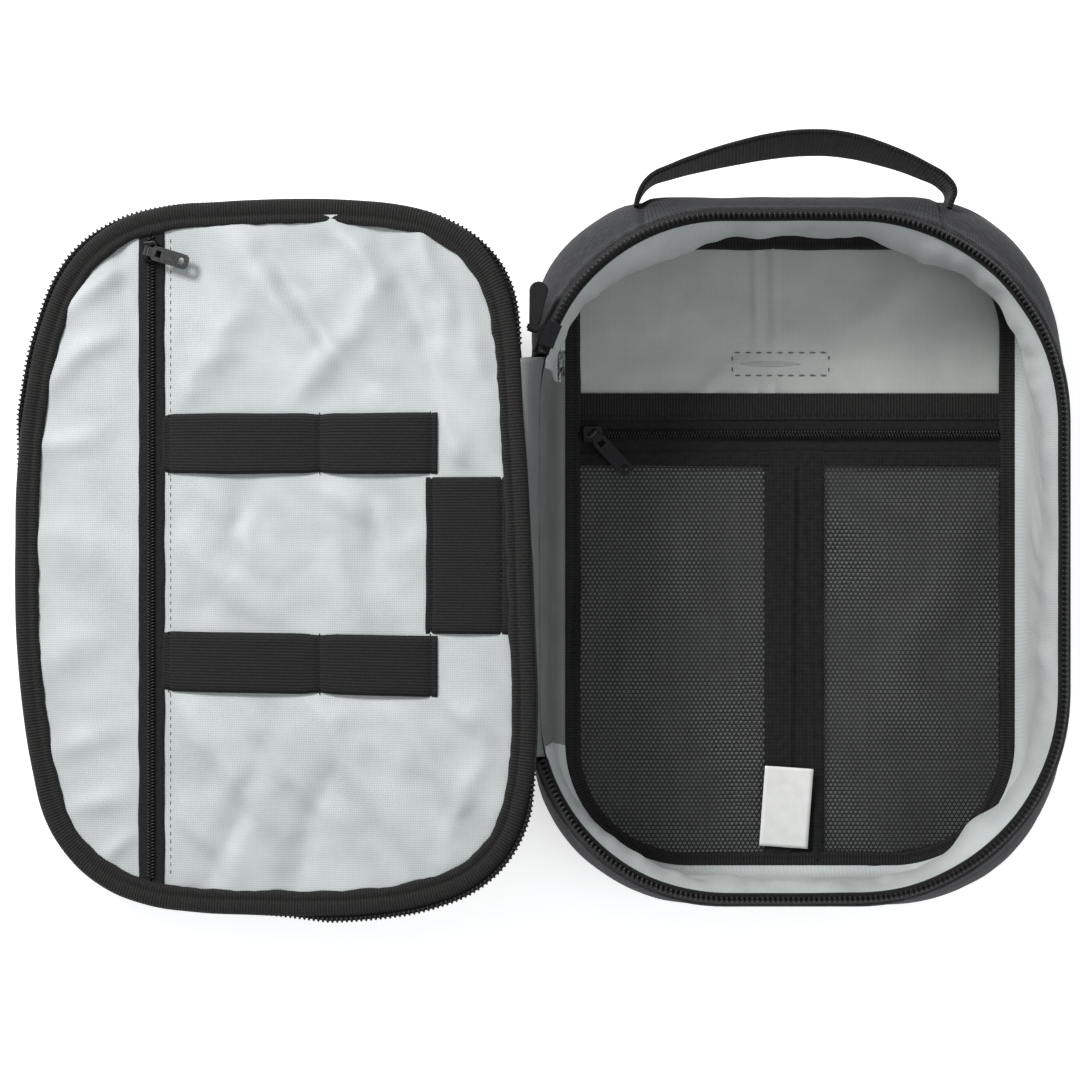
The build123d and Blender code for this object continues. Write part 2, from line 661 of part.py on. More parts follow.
def pull_tab(plane, pull_turn, length):
    """A flat tab on a hub, with a finger hole at its end and a window near its hub."""
    top = PLY_GAP + COIL_HEIGHT + SMALL_SLIDER_CLEAR + SMALL_SLIDER_TOP
    pull = turned(plane, pull_turn).offset(top + PIVOT_RISE)
    hub_length = CHEEK_GAP - 2 * SIDE_CLEAR
    neck = CHEEK_LENGTH / 2 + SIDE_CLEAR
    shoulder = neck + TAB_NECK_GAP
    with BuildSketch(pull.offset(-TAB_THICK / 2)) as tab:
        with Locations(((shoulder + length) / 2, 0)):
            RectangleRounded(length - shoulder, TAB_WIDTH, TAB_CORNER)
        with Locations((shoulder, 0)):
            Rectangle(2 * neck, hub_length)
        with Locations((length - TAB_HOLE_FROM_END, 0)):
            Circle(TAB_HOLE_RADIUS, mode=Mode.SUBTRACT)
        with Locations((neck + TAB_WINDOW_FROM_NECK, 0)):
            Rectangle(*TAB_WINDOW, mode=Mode.SUBTRACT)
    extrude(tab.sketch, amount=TAB_THICK)
    hub_plane = Plane(
        origin=pull.from_local_coords((0, -hub_length / 2, 0)),
        x_dir=pull.x_dir,
        z_dir=pull.y_dir,
    )
    with BuildSketch(hub_plane) as hub:
        Circle(SMALL_HUB_RADIUS)
    extrude(hub.sketch, amount=hub_length)
    with BuildSketch(hub_plane.offset(-1)) as bore:
        Circle(SMALL_PIN_RADIUS + PIN_CLEAR)
    extrude(bore.sketch, amount=hub_length + 2, mode=Mode.SUBTRACT)


floor_slider_x = floor_left + inside_band + FLOOR_SLIDER_FROM_EDGE
floor_slider_plane = Plane(
    origin=(floor_slider_x, zip_y, floor_z + SMALL_TAPE_THICK), x_dir=(1, 0, 0), z_dir=(0, 0, 1)
)
with BuildPart() as pocket_zip_slider:
    small_slider(floor_slider_plane, 0, FLOOR_TAB_TURN)
finish(pocket_zip_slider, "pocket_zip_slider")

with BuildPart() as pocket_pull_tab:
    pull_tab(floor_slider_plane, FLOOR_TAB_TURN, FLOOR_TAB_LENGTH)
finish(pocket_pull_tab, "pocket_pull_tab")

lid_slider_y = lid_half_length - LID_SLIDER_FROM_EDGE
lid_slider_plane = Plane(
    origin=lid_plane.from_local_coords((lid_zip_x, lid_slider_y, on_lid_lining + SMALL_TAPE_THICK)),
    x_dir=lid_plane.x_dir,
    z_dir=lid_plane.z_dir,
)
with BuildPart() as lid_pocket_slider:
    small_slider(lid_slider_plane, 90, LID_TAB_TURN)
finish(lid_pocket_slider, "lid_pocket_slider")

with BuildPart() as lid_pocket_pull_tab:
    pull_tab(lid_slider_plane, LID_TAB_TURN, LID_TAB_LENGTH)
finish(lid_pocket_pull_tab, "lid_pocket_pull_tab")

# ================= the handle =================

# The webbing's ends are sewn into the two seams of the top wall. Beyond a round line
# about the seams' middle height the loop is free to tip.
handle_z = WALL_TOP - HANDLE_DROP
wall_y = half_length + BELLY_TOP_BULGE + HANDLE_WALL_GAP
handle_pivot_y = wall_y - HANDLE_PIVOT_DEPTH
handle_low_z = handle_z - WEBBING_WIDTH / 2


def webbing():
    """The whole strap: up from the left seam, over the grip and down into the right one."""
    with BuildSketch(Plane.XY.offset(handle_low_z)) as strap:
        with BuildLine():
            FilletPolyline(
                *((HANDLE_LEFT_X + x, wall_y + out) for x, out in HANDLE_BENDS),
                radius=list(HANDLE_BEND_RADII),
            )
        trace(line_width=WEBBING_THICK)
    extrude(strap.sketch, amount=WEBBING_WIDTH)


def pivot_cylinder(radius, mode):
    """A bar along X about the seams' middle height."""
    with BuildSketch(Plane.YZ.offset(-FAR)) as disc:
        with Locations((handle_pivot_y, handle_z)):
            Circle(radius)
    extrude(disc.sketch, amount=2 * FAR, mode=mode)


with BuildPart() as handle_webbing:
    webbing()
    pivot_cylinder(HANDLE_PIVOT_RADIUS + HANDLE_GAP, Mode.SUBTRACT)
    trim(-FAR, FAR, -FAR, handle_pivot_y)
finish(handle_webbing, "handle_webbing")

with BuildPart() as handle_end_left:
    webbing()
    pivot_cylinder(HANDLE_PIVOT_RADIUS, Mode.INTERSECT)
    trim(0, FAR, -FAR, FAR)
    wall_block(-PLY_GAP, mode=Mode.SUBTRACT)
finish(handle_end_left, "handle_end_left")

with BuildPart() as handle_end_right:
    webbing()
    pivot_cylinder(HANDLE_PIVOT_RADIUS, Mode.INTERSECT)
    trim(-FAR, 0, -FAR, FAR)
    wall_block(-PLY_GAP, mode=Mode.SUBTRACT)
finish(handle_end_right, "handle_end_right")

# ================= the lid =================

with BuildPart() as lid_panel:
    slab(LID, 0, -LID_THICK, -BINDING_THICK - PLY_GAP, plane=lid_plane)
    slab(LID, CLOTH, -LID_THICK + CLOTH, 1, mode=Mode.SUBTRACT, plane=lid_plane)
finish(lid_panel, "lid_panel")

with BuildPart() as lid_foam:
    slab(LID, CLOTH + PLY_GAP, -LID_THICK + CLOTH + PLY_GAP, lid_foam_top, plane=lid_plane)
finish(lid_foam, "lid_foam")

lid_ply = CLOTH + PLY_GAP
lining_edge_x = lid_zip_x - SMALL_TAPE_HALF + TAPE_GAP

with BuildPart() as lid_lining:
    slab(LID, lid_ply, lid_lining_foot, lid_lining_top, plane=lid_plane)
    trim(-FAR, lining_edge_x, -FAR, FAR, -DEEP, DEEP, plane=lid_plane)
finish(lid_lining, "lid_lining")

with BuildPart() as lid_pocket_lining:
    slab(LID, lid_ply, lid_lining_foot, lid_lining_top, plane=lid_plane)
    trim(lining_edge_x - PLY_GAP, FAR, -FAR, FAR, -DEEP, DEEP, plane=lid_plane)
finish(lid_pocket_lining, "lid_pocket_lining")

with BuildPart() as lid_binding:
    ring(LID, band_inset, band_inset + BINDING_WIDTH, -BINDING_THICK, 0, plane=lid_plane)
finish(lid_binding, "lid_binding")

skirt_foot = -BINDING_THICK
skirt_top = skirt_foot + SKIRT_TAPE_HEIGHT
with BuildPart() as lid_zip_tape:
    ring(LID, SKIRT_INSET, SKIRT_INSET + TAPE_THICK, skirt_foot, skirt_top, plane=lid_plane)
    trim(-RIM_HINGE_RADIUS, FAR, -ZIP_END_Y, ZIP_END_Y, -DEEP, DEEP, plane=lid_plane)
finish(lid_zip_tape, "lid_zip_tape")

with BuildPart() as lid_zip_teeth:
    ring(
        LID,
        SKIRT_INSET,
        SKIRT_INSET + SKIRT_WIDTH,
        skirt_top + PLY_GAP,
        skirt_top + PLY_GAP + SKIRT_TEETH_HEIGHT,
        plane=lid_plane,
    )
    trim(-RIM_HINGE_RADIUS, FAR, -ZIP_END_Y, ZIP_END_Y, -DEEP, DEEP, plane=lid_plane)
finish(lid_zip_teeth, "lid_zip_teeth")

# ---- the lid's zipped pocket ----

tape_foot = on_lid_lining
tape_top = tape_foot + SMALL_TAPE_THICK
tape_far_x = lid_zip_x - SMALL_TAPE_HALF
tape_near_x = lid_zip_x + SMALL_TAPE_HALF

with BuildPart() as lid_pocket_tape_outer:
    sheet(tape_far_x, lid_zip_x - TAPE_GAP, -FAR, FAR, tape_foot, tape_top, plane=lid_plane)
    keep_inside(LID, clear_inset, plane=lid_plane)
finish(lid_pocket_tape_outer, "lid_pocket_tape_outer")

with BuildPart() as lid_pocket_tape_inner:
    sheet(lid_zip_x + TAPE_GAP, tape_near_x, -FAR, FAR, tape_foot, tape_top, plane=lid_plane)
    keep_inside(LID, clear_inset, plane=lid_plane)
finish(lid_pocket_tape_inner, "lid_pocket_tape_inner")

with BuildPart() as lid_pocket_coil:
    sheet(
        lid_zip_x - COIL_WIDTH / 2,
        lid_zip_x + COIL_WIDTH / 2,
        -FAR,
        FAR,
        tape_top + PLY_GAP,
        tape_top + PLY_GAP + COIL_HEIGHT,
        plane=lid_plane,
    )
    keep_inside(LID, clear_inset, plane=lid_plane)
finish(lid_pocket_coil, "lid_pocket_coil")

# ---- the elastic loops ----

elastic_far_x = tape_near_x + PLY_GAP

with BuildPart() as elastic_upper:
    sheet(
        elastic_far_x,
        -ELASTIC_HINGE_MARGIN,
        UPPER_ELASTIC_Y - ELASTIC_WIDTH / 2,
        UPPER_ELASTIC_Y + ELASTIC_WIDTH / 2,
        on_lid_lining,
        on_lid_lining + ELASTIC_THICK,
        plane=lid_plane,
    )
finish(elastic_upper, "elastic_upper")

with BuildPart() as elastic_lower:
    sheet(
        elastic_far_x,
        -ELASTIC_HINGE_MARGIN,
        LOWER_ELASTIC_Y - ELASTIC_WIDTH / 2,
        LOWER_ELASTIC_Y + ELASTIC_WIDTH / 2,
        on_lid_lining,
        on_lid_lining + ELASTIC_THICK,
        plane=lid_plane,
    )
finish(elastic_lower, "elastic_lower")

side_band_y = (UPPER_ELASTIC_Y + LOWER_ELASTIC_Y) / 2 + SIDE_BAND_SHIFT
with BuildPart() as elastic_side:
    sheet(
        -clear_inset - SIDE_BAND_WIDTH,
        -clear_inset,
        side_band_y - SIDE_BAND_LENGTH / 2,
        side_band_y + SIDE_BAND_LENGTH / 2,
        on_lid_lining,
        on_lid_lining + ELASTIC_THICK,
        plane=lid_plane,
    )
finish(elastic_side, "elastic_side")

# ---- the places that the joints turn and slide about ----


def report(what, point, direction):
    """Prints a pivot's place and direction."""
    place = tuple(round(v, 3) for v in point)
    along = tuple(round(v, 5) for v in direction)
    print(what, place, "along", along)


print("hinge line", round(hinge_x, 3), round(hinge_z, 3), "tilt", round(lid_tilt, 4))
print("rim corner axis", round(corner_x, 3), round(corner_y, 3))
print("handle pivot", round(handle_pivot_y, 3), round(handle_z, 3))
report("main puller pin", hub_middle, outward)
report("label edge", label_plane.origin, label_plane.x_dir)
pin_rise = PLY_GAP + COIL_HEIGHT + SMALL_SLIDER_CLEAR + SMALL_SLIDER_TOP + PIVOT_RISE
for name, plane, turn in (
    ("floor pull pin", floor_slider_plane, FLOOR_TAB_TURN),
    ("lid pull pin", lid_slider_plane, LID_TAB_TURN),
):
    pull_plane = turned(plane, turn).offset(pin_rise)
    report(name, pull_plane.origin, pull_plane.y_dir)
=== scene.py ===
# %% [markdown]
# A soft, zipped organiser pouch lies open on its back. The measured model that comes in first is the frame:
# it holds every hinge, slider and size, and nothing in it is moved here. Each soft layer of it is plain, so
# the steps below sew a detailed piece in its place and let that piece ride on the same body.

# %% The frame
import json
import math

import bmesh
import bpy
from mathutils import Matrix, Vector, noise


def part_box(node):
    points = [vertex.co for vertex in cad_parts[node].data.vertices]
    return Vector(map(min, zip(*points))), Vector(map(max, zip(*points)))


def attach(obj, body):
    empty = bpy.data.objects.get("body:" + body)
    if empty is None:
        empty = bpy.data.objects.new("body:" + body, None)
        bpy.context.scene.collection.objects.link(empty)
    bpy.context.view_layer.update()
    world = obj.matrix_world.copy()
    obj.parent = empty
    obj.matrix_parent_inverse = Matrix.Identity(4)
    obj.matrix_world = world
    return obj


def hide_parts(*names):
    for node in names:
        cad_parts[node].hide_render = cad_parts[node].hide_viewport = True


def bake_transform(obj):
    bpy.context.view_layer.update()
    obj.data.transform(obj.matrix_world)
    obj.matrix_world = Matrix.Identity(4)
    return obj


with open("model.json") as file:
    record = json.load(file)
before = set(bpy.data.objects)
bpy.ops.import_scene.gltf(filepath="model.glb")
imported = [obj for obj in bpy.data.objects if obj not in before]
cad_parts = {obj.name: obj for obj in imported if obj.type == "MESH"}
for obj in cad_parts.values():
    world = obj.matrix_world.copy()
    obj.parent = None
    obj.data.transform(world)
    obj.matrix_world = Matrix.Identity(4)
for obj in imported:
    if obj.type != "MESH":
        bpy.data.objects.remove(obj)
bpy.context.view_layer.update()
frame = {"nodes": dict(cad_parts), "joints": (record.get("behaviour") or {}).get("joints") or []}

MM = 0.001

# %% [markdown]
# Cloth is drawn flat by a pattern cutter, in millimetres. So each piece is worked out in millimetres too,
# either in the tray's frame or in the flat plane of the lid, and a matrix puts it in place at the end. The
# lid's plane starts on the hinge line, and its tilt is how far the hinge turns past half a turn.

# %% Places of the tray and the lid
hinge = next(j for j in frame["joints"] if j["name"] == "lid_hinge")
hinge_x, _, hinge_z = (v / MM for v in hinge["pos_m"])
tilt = math.radians(hinge["range_deg"][1] - 180)
TRAY = Matrix.Scale(MM, 4)
lid_turn = Matrix(
    (
        (math.cos(tilt), 0, -math.sin(tilt), hinge_x),
        (0, 1, 0, 0),
        (math.sin(tilt), 0, math.cos(tilt), hinge_z),
        (0, 0, 0, 1),
    )
)
LID = TRAY @ lid_turn
print("hinge line", hinge_x, hinge_z, "tilt", round(math.degrees(tilt), 2))


def lo(node):
    """Lowest corner of a measured part, in millimetres."""
    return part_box(node)[0] / MM


def hi(node):
    """Highest corner of a measured part, in millimetres."""
    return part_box(node)[1] / MM


# %% [markdown]
# Materials come first, because a cloth is known by its weave. Every woven finish reads a flat map that is
# in millimetres: U runs along the cloth and V across it, so a rib of 1 mm is 1 unit of the map. Sine waves
# of that map make threads, noise makes the uneven yarn, and both feed the bump and the colour.

# %% A shader with a node helper
def new_material(name):
    """An empty material, its node tree and its main shader."""
    material = bpy.data.materials.new(name)
    material.use_nodes = True
    tree = material.node_tree
    return material, tree, tree.nodes["Principled BSDF"]


def math_node(tree, operation, first, second=None):
    """A sum on one or two sockets or numbers."""
    node = tree.nodes.new("ShaderNodeMath")
    node.operation = operation
    for slot, value in enumerate((first, second)):
        if value is None:
            continue
        if isinstance(value, (int, float)):
            node.inputs[slot].default_value = value
        else:
            tree.links.new(value, node.inputs[slot])
    return node.outputs[0]


def flat_map(tree):
    """U and V of the cloth's own flat map, in millimetres."""
    uv = tree.nodes.new("ShaderNodeUVMap")
    uv.uv_map = "flat"
    split = tree.nodes.new("ShaderNodeSeparateXYZ")
    tree.links.new(uv.outputs[0], split.inputs[0])
    return uv.outputs[0], split.outputs[0], split.outputs[1]


def threads(tree, coordinate, pitch):
    """A smooth wave from 0 to 1 along a coordinate, one per thread."""
    wave = math_node(tree, "SINE", math_node(tree, "MULTIPLY", coordinate, 2 * math.pi / pitch))
    return math_node(tree, "MULTIPLY_ADD", wave, 0.5)


def speckle(tree, vector, scale, detail=2.0, stretch=(1, 1, 1)):
    """Noise on the flat map or on object coordinates."""
    place = tree.nodes.new("ShaderNodeMapping")
    place.inputs["Scale"].default_value = stretch
    tree.links.new(vector, place.inputs["Vector"])
    grain = tree.nodes.new("ShaderNodeTexNoise")
    grain.inputs["Scale"].default_value = scale
    grain.inputs["Detail"].default_value = detail
    tree.links.new(place.outputs[0], grain.inputs["Vector"])
    return grain.outputs["Fac"]


def ramp(tree, value, dark, light, start=0.0, end=1.0):
    """Two colours across a value."""
    node = tree.nodes.new("ShaderNodeValToRGB")
    node.color_ramp.elements[0].position = start
    node.color_ramp.elements[1].position = end
    node.color_ramp.elements[0].color = (*dark, 1)
    node.color_ramp.elements[1].color = (*light, 1)
    tree.links.new(value, node.inputs[0])
    return node.outputs[0]


def bump(tree, shader, height, depth, strength=1.0):
    """Turns a height from 0 to 1 into relief that is depth millimetres deep."""
    node = tree.nodes.new("ShaderNodeBump")
    node.inputs["Strength"].default_value = strength
    node.inputs["Distance"].default_value = depth * MM
    tree.links.new(height, node.inputs["Height"])
    tree.links.new(node.outputs[0], shader.inputs["Normal"])


# %% Woven and ribbed cloths
def woven(name, dark, light, pitch, depth, rough, sheen=0.3, grain=0.5, streak=(1, 1, 1), contrast=(0.2, 0.8)):
    """A cloth with warp and weft at one pitch and an uneven yarn."""
    material, tree, shader = new_material(name)
    vector, u, v = flat_map(tree)
    weave = math_node(tree, "MULTIPLY", threads(tree, u, pitch), threads(tree, v, pitch))
    yarn = speckle(tree, vector, grain, 3.0, streak)
    tone = math_node(tree, "MULTIPLY_ADD", weave, 0.45)
    tree.links.new(math_node(tree, "MULTIPLY", yarn, 0.9), tone.node.inputs[2])
    tree.links.new(ramp(tree, tone, dark, light, *contrast), shader.inputs["Base Color"])
    bump(tree, shader, tone, depth)
    shader.inputs["Roughness"].default_value = rough
    shader.inputs["Sheen Weight"].default_value = sheen
    shader.inputs["Sheen Roughness"].default_value = 0.45
    shader.inputs["Specular IOR Level"].default_value = 0.2
    return material


def ribbed(name, dark, light, pitch, along, depth, rough=0.75, fine=0.45):
    """A narrow tape whose ribs lie across its length, or along it, with fine threads the other way."""
    material, tree, shader = new_material(name)
    vector, u, v = flat_map(tree)
    rib_on, thread_on = (v, u) if along else (u, v)
    rib = threads(tree, rib_on, pitch)
    thread = threads(tree, thread_on, fine)
    height = math_node(tree, "MULTIPLY_ADD", thread, 0.18)
    tree.links.new(math_node(tree, "MULTIPLY", rib, 0.8), height.node.inputs[2])
    fuzz = speckle(tree, vector, 0.9, 4.0)
    tone = math_node(tree, "MULTIPLY_ADD", fuzz, 0.7)
    tree.links.new(math_node(tree, "MULTIPLY", height, 0.55), tone.node.inputs[2])
    tree.links.new(ramp(tree, tone, dark, light, 0.3, 1.0), shader.inputs["Base Color"])
    bump(tree, shader, height, depth)
    shader.inputs["Roughness"].default_value = rough
    shader.inputs["Sheen Weight"].default_value = 0.06
    shader.inputs["Specular IOR Level"].default_value = 0.18
    return material


def solid_finish(name, colour, rough, metallic=0.0, grain=900.0, depth=0.03, spread=0.25):
    """Plastic or metal with a slightly uneven surface, on object coordinates."""
    material, tree, shader = new_material(name)
    where = tree.nodes.new("ShaderNodeTexCoord").outputs["Object"]
    fuzz = speckle(tree, where, grain, 3.0)
    low = tuple(c * (1 - spread) for c in colour)
    high = tuple(c * (1 + spread) for c in colour)
    tree.links.new(ramp(tree, fuzz, low, high, 0.3, 0.7), shader.inputs["Base Color"])
    bump(tree, shader, fuzz, depth)
    shader.inputs["Roughness"].default_value = rough
    shader.inputs["Metallic"].default_value = metallic
    shader.inputs["Specular IOR Level"].default_value = 0.3
    return material


WIDE, FINE = (0.1, 1.25), (0.1, 1.2)
heather = woven(
    "heather_polyester", (0.010, 0.010, 0.011), (0.062, 0.063, 0.067), 0.9, 0.14, 0.9, 0.08, 0.9, (
        0.35, 1.3, 1
    ),
    (0.25, 1.1),
)
taffeta = woven(
    "grey_lining_taffeta", (0.36, 0.385, 0.38), (0.58, 0.61, 0.60), 0.8, 0.16, 0.5, 0.1, 0.05, contrast=WIDE
)
inside_taffeta = woven(
    "grey_back_taffeta", (0.33, 0.345, 0.33), (0.50, 0.515, 0.49), 0.8, 0.14, 0.5, 0.1, 0.05, contrast=WIDE
)
# Painted shade: a darker copy of the grey lining taffeta for the hinge wall's lining and the inner hinge strip,
# which lie in shade.
painted_shade_taffeta = woven(
    "grey_taffeta_painted_shade", (0.12, 0.127, 0.125), (0.20, 0.21, 0.205), 0.8, 0.14, 0.6, 0.05, 0.05,
    contrast=WIDE,
)
grosgrain = ribbed("black_grosgrain", (0.0035, 0.0035, 0.0032), (0.024, 0.0235, 0.022), 1.05, False, 0.24)
webbing_weave = ribbed("black_webbing", (0.003, 0.003, 0.003), (0.020, 0.020, 0.0195), 1.25, False, 0.3)
elastic_weave = ribbed("black_elastic", (0.005, 0.005, 0.005), (0.019, 0.019, 0.019), 0.98, True, 0.2, 0.8, 0.6)
tape_weave = woven("black_zip_tape", (0.003, 0.003, 0.003), (0.016, 0.016, 0.016), 0.6, 0.06, 0.9, 0.05, 0.8)
double_net = woven(
    "black_double_net", (0.002, 0.002, 0.002), (0.017, 0.017, 0.017), 1.35, 0.25, 0.85, 0.05, 0.4, contrast=FINE
)
net_nylon = solid_finish("black_net_nylon", (0.006, 0.006, 0.006), 0.7)
coil_nylon = solid_finish("black_zip_coil", (0.010, 0.010, 0.010), 0.36)
enamel = solid_finish("black_enamel", (0.010, 0.010, 0.011), 0.25, 0.2)
gunmetal = solid_finish("gunmetal_plate", (0.085, 0.085, 0.083), 0.30, 1.0)
moulded = solid_finish("black_moulded_puller", (0.006, 0.006, 0.0065), 0.5)
satin = woven("white_label_satin", (0.66, 0.66, 0.64), (0.80, 0.80, 0.78), 0.35, 0.03, 0.4, 0.05, 0.2)
grey_thread = solid_finish("grey_thread", (0.12, 0.125, 0.125), 0.8)
black_thread = solid_finish("black_thread", (0.006, 0.006, 0.006), 0.8)
print("materials", len(bpy.data.materials))

# %% [markdown]
# Almost every piece here is cloth that runs along an edge, so one helper does most of the sewing. It starts
# with the few points of a cross-section, extrudes them from station to station with the extrude operator,
# and writes the flat map as it goes. A cutter would lay the tape out flat in the same way.

# %% Lofting cloth along an edge
def extrude_line(bm, edges, places):
    """Extrudes a line of edges and moves its new points to places, in the order of the rank layer."""
    rank = bm.verts.layers.int["rank"]
    out = bmesh.ops.extrude_edge_only(bm, edges=edges)["geom"]
    points = sorted((g for g in out if isinstance(g, bmesh.types.BMVert)), key=lambda p: p[rank])
    for point, place in zip(points, places):
        point.co = place
    lines = [g for g in out if isinstance(g, bmesh.types.BMEdge)]
    return points, [line for line in lines if line.verts[0][rank] != line.verts[1][rank]]


def loft(sections, closed=False, tube=False):
    """A bmesh skin through equally long sections. closed joins the last section to the first."""
    bm = bmesh.new()
    rank = bm.verts.layers.int.new("rank")
    along, across = bm.verts.layers.float.new("along"), bm.verts.layers.float.new("across")
    middle = len(sections[0]) // 2
    run = [0.0]
    for a, b in zip(sections[0], sections[0][1:]):
        run.append(run[-1] + (b - a).length)
    points = [bm.verts.new(p) for p in sections[0]]
    for n, point in enumerate(points):
        point[rank], point[across] = n, run[n]
    pairs = list(zip(points, points[1:])) + ([(points[-1], points[0])] if tube else [])
    edges = [bm.edges.new(pair) for pair in pairs]
    length = 0.0
    path = sections[1:] + ([sections[0]] if closed else [])
    previous = sections[0]
    for section in path:
        length += (section[middle] - previous[middle]).length
        points, edges = extrude_line(bm, edges, section)
        for n, point in enumerate(points):
            point[along], point[across] = length, run[n]
        previous = section
    flat = bm.loops.layers.uv.new("flat")
    for face in bm.faces:
        for corner in face.loops:
            corner[flat].uv = (corner.vert[along], corner.vert[across])
    if closed:
        bmesh.ops.remove_doubles(bm, verts=bm.verts, dist=1e-4)
    return bm


def finished(bm, name, place, material, thick=0.0, offset=-1.0, subdiv=0, smooth=True, outwards=True):
    """Puts a bmesh in place as an object, with a material and a real thickness in millimetres."""
    bmesh.ops.transform(bm, matrix=place, verts=bm.verts)
    if outwards:
        bmesh.ops.recalc_face_normals(bm, faces=bm.faces)
    mesh = bpy.data.meshes.new(name)
    bm.to_mesh(mesh)
    bm.free()
    mesh.polygons.foreach_set("use_smooth", [smooth] * len(mesh.polygons))
    piece = bpy.data.objects.new(name, mesh)
    bpy.context.scene.collection.objects.link(piece)
    mesh.materials.append(material)
    if subdiv:
        rounding = piece.modifiers.new("rounding", "SUBSURF")
        rounding.levels = rounding.render_levels = subdiv
    if thick:
        wall = piece.modifiers.new("cloth", "SOLIDIFY")
        wall.thickness = thick * MM
        wall.offset = offset
    return piece


def sewn(piece, body, slot, *nodes):
    """The piece moves with a body and stands for these parts of the frame. slot is not used."""
    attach(piece, body)
    if nodes:
        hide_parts(*nodes)
    print("sewn", piece.name, len(piece.data.polygons), "faces")
    return piece


def ruffle(x, y, z=0.0, scale=20.0, seed=0.0):
    """Smooth noise from -1 to 1, that changes over about scale millimetres."""
    return noise.noise(Vector((x / scale + seed, y / scale - seed, z / scale + 2 * seed)))


# %% [markdown]
# The tray's edge is a rounded rectangle that grows and bulges from the floor to the rim. Each height has
# the same 188 stations round it, so a vertical line of cloth always keeps its station number. Station 0 is
# the middle of the hinge wall, and the numbers run round by the bottom wall, the free wall and the handle's
# wall.

# %% The tray's outline at any height
RIM = (-93.0, 93.0, -119.4, 119.4, 68.0, 74.0, 74.0, 68.0)
BELLY = (-91.0, 91.5, -120.4, 125.0, 57.0, 57.0, 52.0, 48.0)
BACK = (lo("back_panel"), hi("back_panel"))
BASE = (BACK[0].x, BACK[1].x, BACK[0].y, BACK[1].y, 50.0, 50.0, 42.0, 36.0)
BELLY_Z, RIM_Z = 26.0, 47.0
RUNS = (12, 28, 16, 28, 20, 28, 16, 28, 12)
STATIONS = sum(RUNS)


def mix(a, b, share):
    """A value between a and b."""
    return a + (b - a) * share


def level(z):
    """The outline of the tray's outside at a height."""
    if z < BELLY_Z:
        return tuple(mix(a, b, math.sin(max(z, 0) / BELLY_Z * math.pi / 2)) for a, b in zip(BASE, BELLY))
    share = min((z - BELLY_Z) / (RIM_Z - BELLY_Z), 1.0)
    return tuple(mix(a, b, share * share * (1.6 - 0.6 * share)) for a, b in zip(BELLY, RIM))


def station(shape, k):
    """The point and the outward direction at a station of an outline."""
    x_low, x_high, y_low, y_high, r_a, r_b, r_c, r_d = shape
    k = k % STATIONS
    part = 0
    while k > RUNS[part]:
        k -= RUNS[part]
        part += 1
    share = k / RUNS[part]
    lines = {
        0: ((x_low, 0), (x_low, y_low + r_a), (-1, 0)),
        2: ((x_low + r_a, y_low), (x_high - r_b, y_low), (0, -1)),
        4: ((x_high, y_low + r_b), (x_high, y_high - r_c), (1, 0)),
        6: ((x_high - r_c, y_high), (x_low + r_d, y_high), (0, 1)),
        8: ((x_low, y_high - r_d), (x_low, 0), (-1, 0)),
    }
    if part in lines:
        start, end, out = lines[part]
        return Vector(start).lerp(Vector(end), share), Vector(out)
    centre, radius, turn = {
        1: ((x_low + r_a, y_low + r_a), r_a, 180),
        3: ((x_high - r_b, y_low + r_b), r_b, 270),
        5: ((x_high - r_c, y_high - r_c), r_c, 0),
        7: ((x_low + r_d, y_high - r_d), r_d, 90),
    }[part]
    angle = math.radians(turn + 90 * share)
    out = Vector((math.cos(angle), math.sin(angle)))
    return Vector(centre) + out * radius, out


def cut(shape, axis, value, low, high):
    """The station between two others where an outline crosses a plane, by halving."""
    for _ in range(24):
        middle = (low + high) / 2
        if station(shape, middle)[0][axis] > value:
            low = middle
        else:
            high = middle
    return low


# Where the wall's panels meet: X or Y of the plane, and the stations on its two sides.
SEAM_RIGHT, SEAM_LEFT = (0, 50.0, 104, 132), (0, -53.0, 148, 176)
ZIP_LAST, ZIP_FIRST = (1, 70.0, 148, STATIONS), (1, -70.0, STATIONS, STATIONS + 40)
ZIP_START, ZIP_END = cut(RIM, *ZIP_FIRST) - STATIONS, cut(RIM, *ZIP_LAST)


def on_wall(k, z, inset):
    """A point of the tray's wall: a station, a height and how far inside the outline."""
    point, out = station(level(z), k)
    return (point - out * inset).to_3d() + Vector((0, 0, z))


def stations(start, end, step=1.0):
    """Evenly spaced station numbers, both ends included."""
    count = max(2, round((end - start) / step))
    return [mix(start, end, n / count) for n in range(count + 1)]


def near(k, centre, width):
    """1 at a station and 0 beyond a width of stations from it."""
    gap = abs((k - centre + STATIONS / 2) % STATIONS - STATIONS / 2) / width
    return math.exp(-3 * gap * gap)


# %% [markdown]
# The outer cloth is a charcoal heather polyester over foam. Four panels make the wall: a top panel between
# the handle's seams, a short strip, the hinge wall and one long strip. The wall's foot is turned under in a
# soft roll, and each seam pulls the padded wall in a little, so each panel dips at its ends.

# %% The tray's outer wall
WALL_ROWS = (
    (0.35, 6.5), (0.5, 3.0), (1.6, 0.8), (4.5, 0.1), (10, 0), (16, -0.25), (22, -0.4), (28, -0.4),
    (34, -0.3), (39, -0.1), (42.5, 0.0), (44.6, 0.5), (45.8, -0.3), (46.8, -0.1), (47.6, 0.9),
)


def between(first, last, z, share):
    """A station part of the way from one seam to another, at a height."""
    shape = level(z)
    start, end = cut(shape, *first), cut(shape, *last)
    return mix(start - (STATIONS if start > end else 0), end, share)


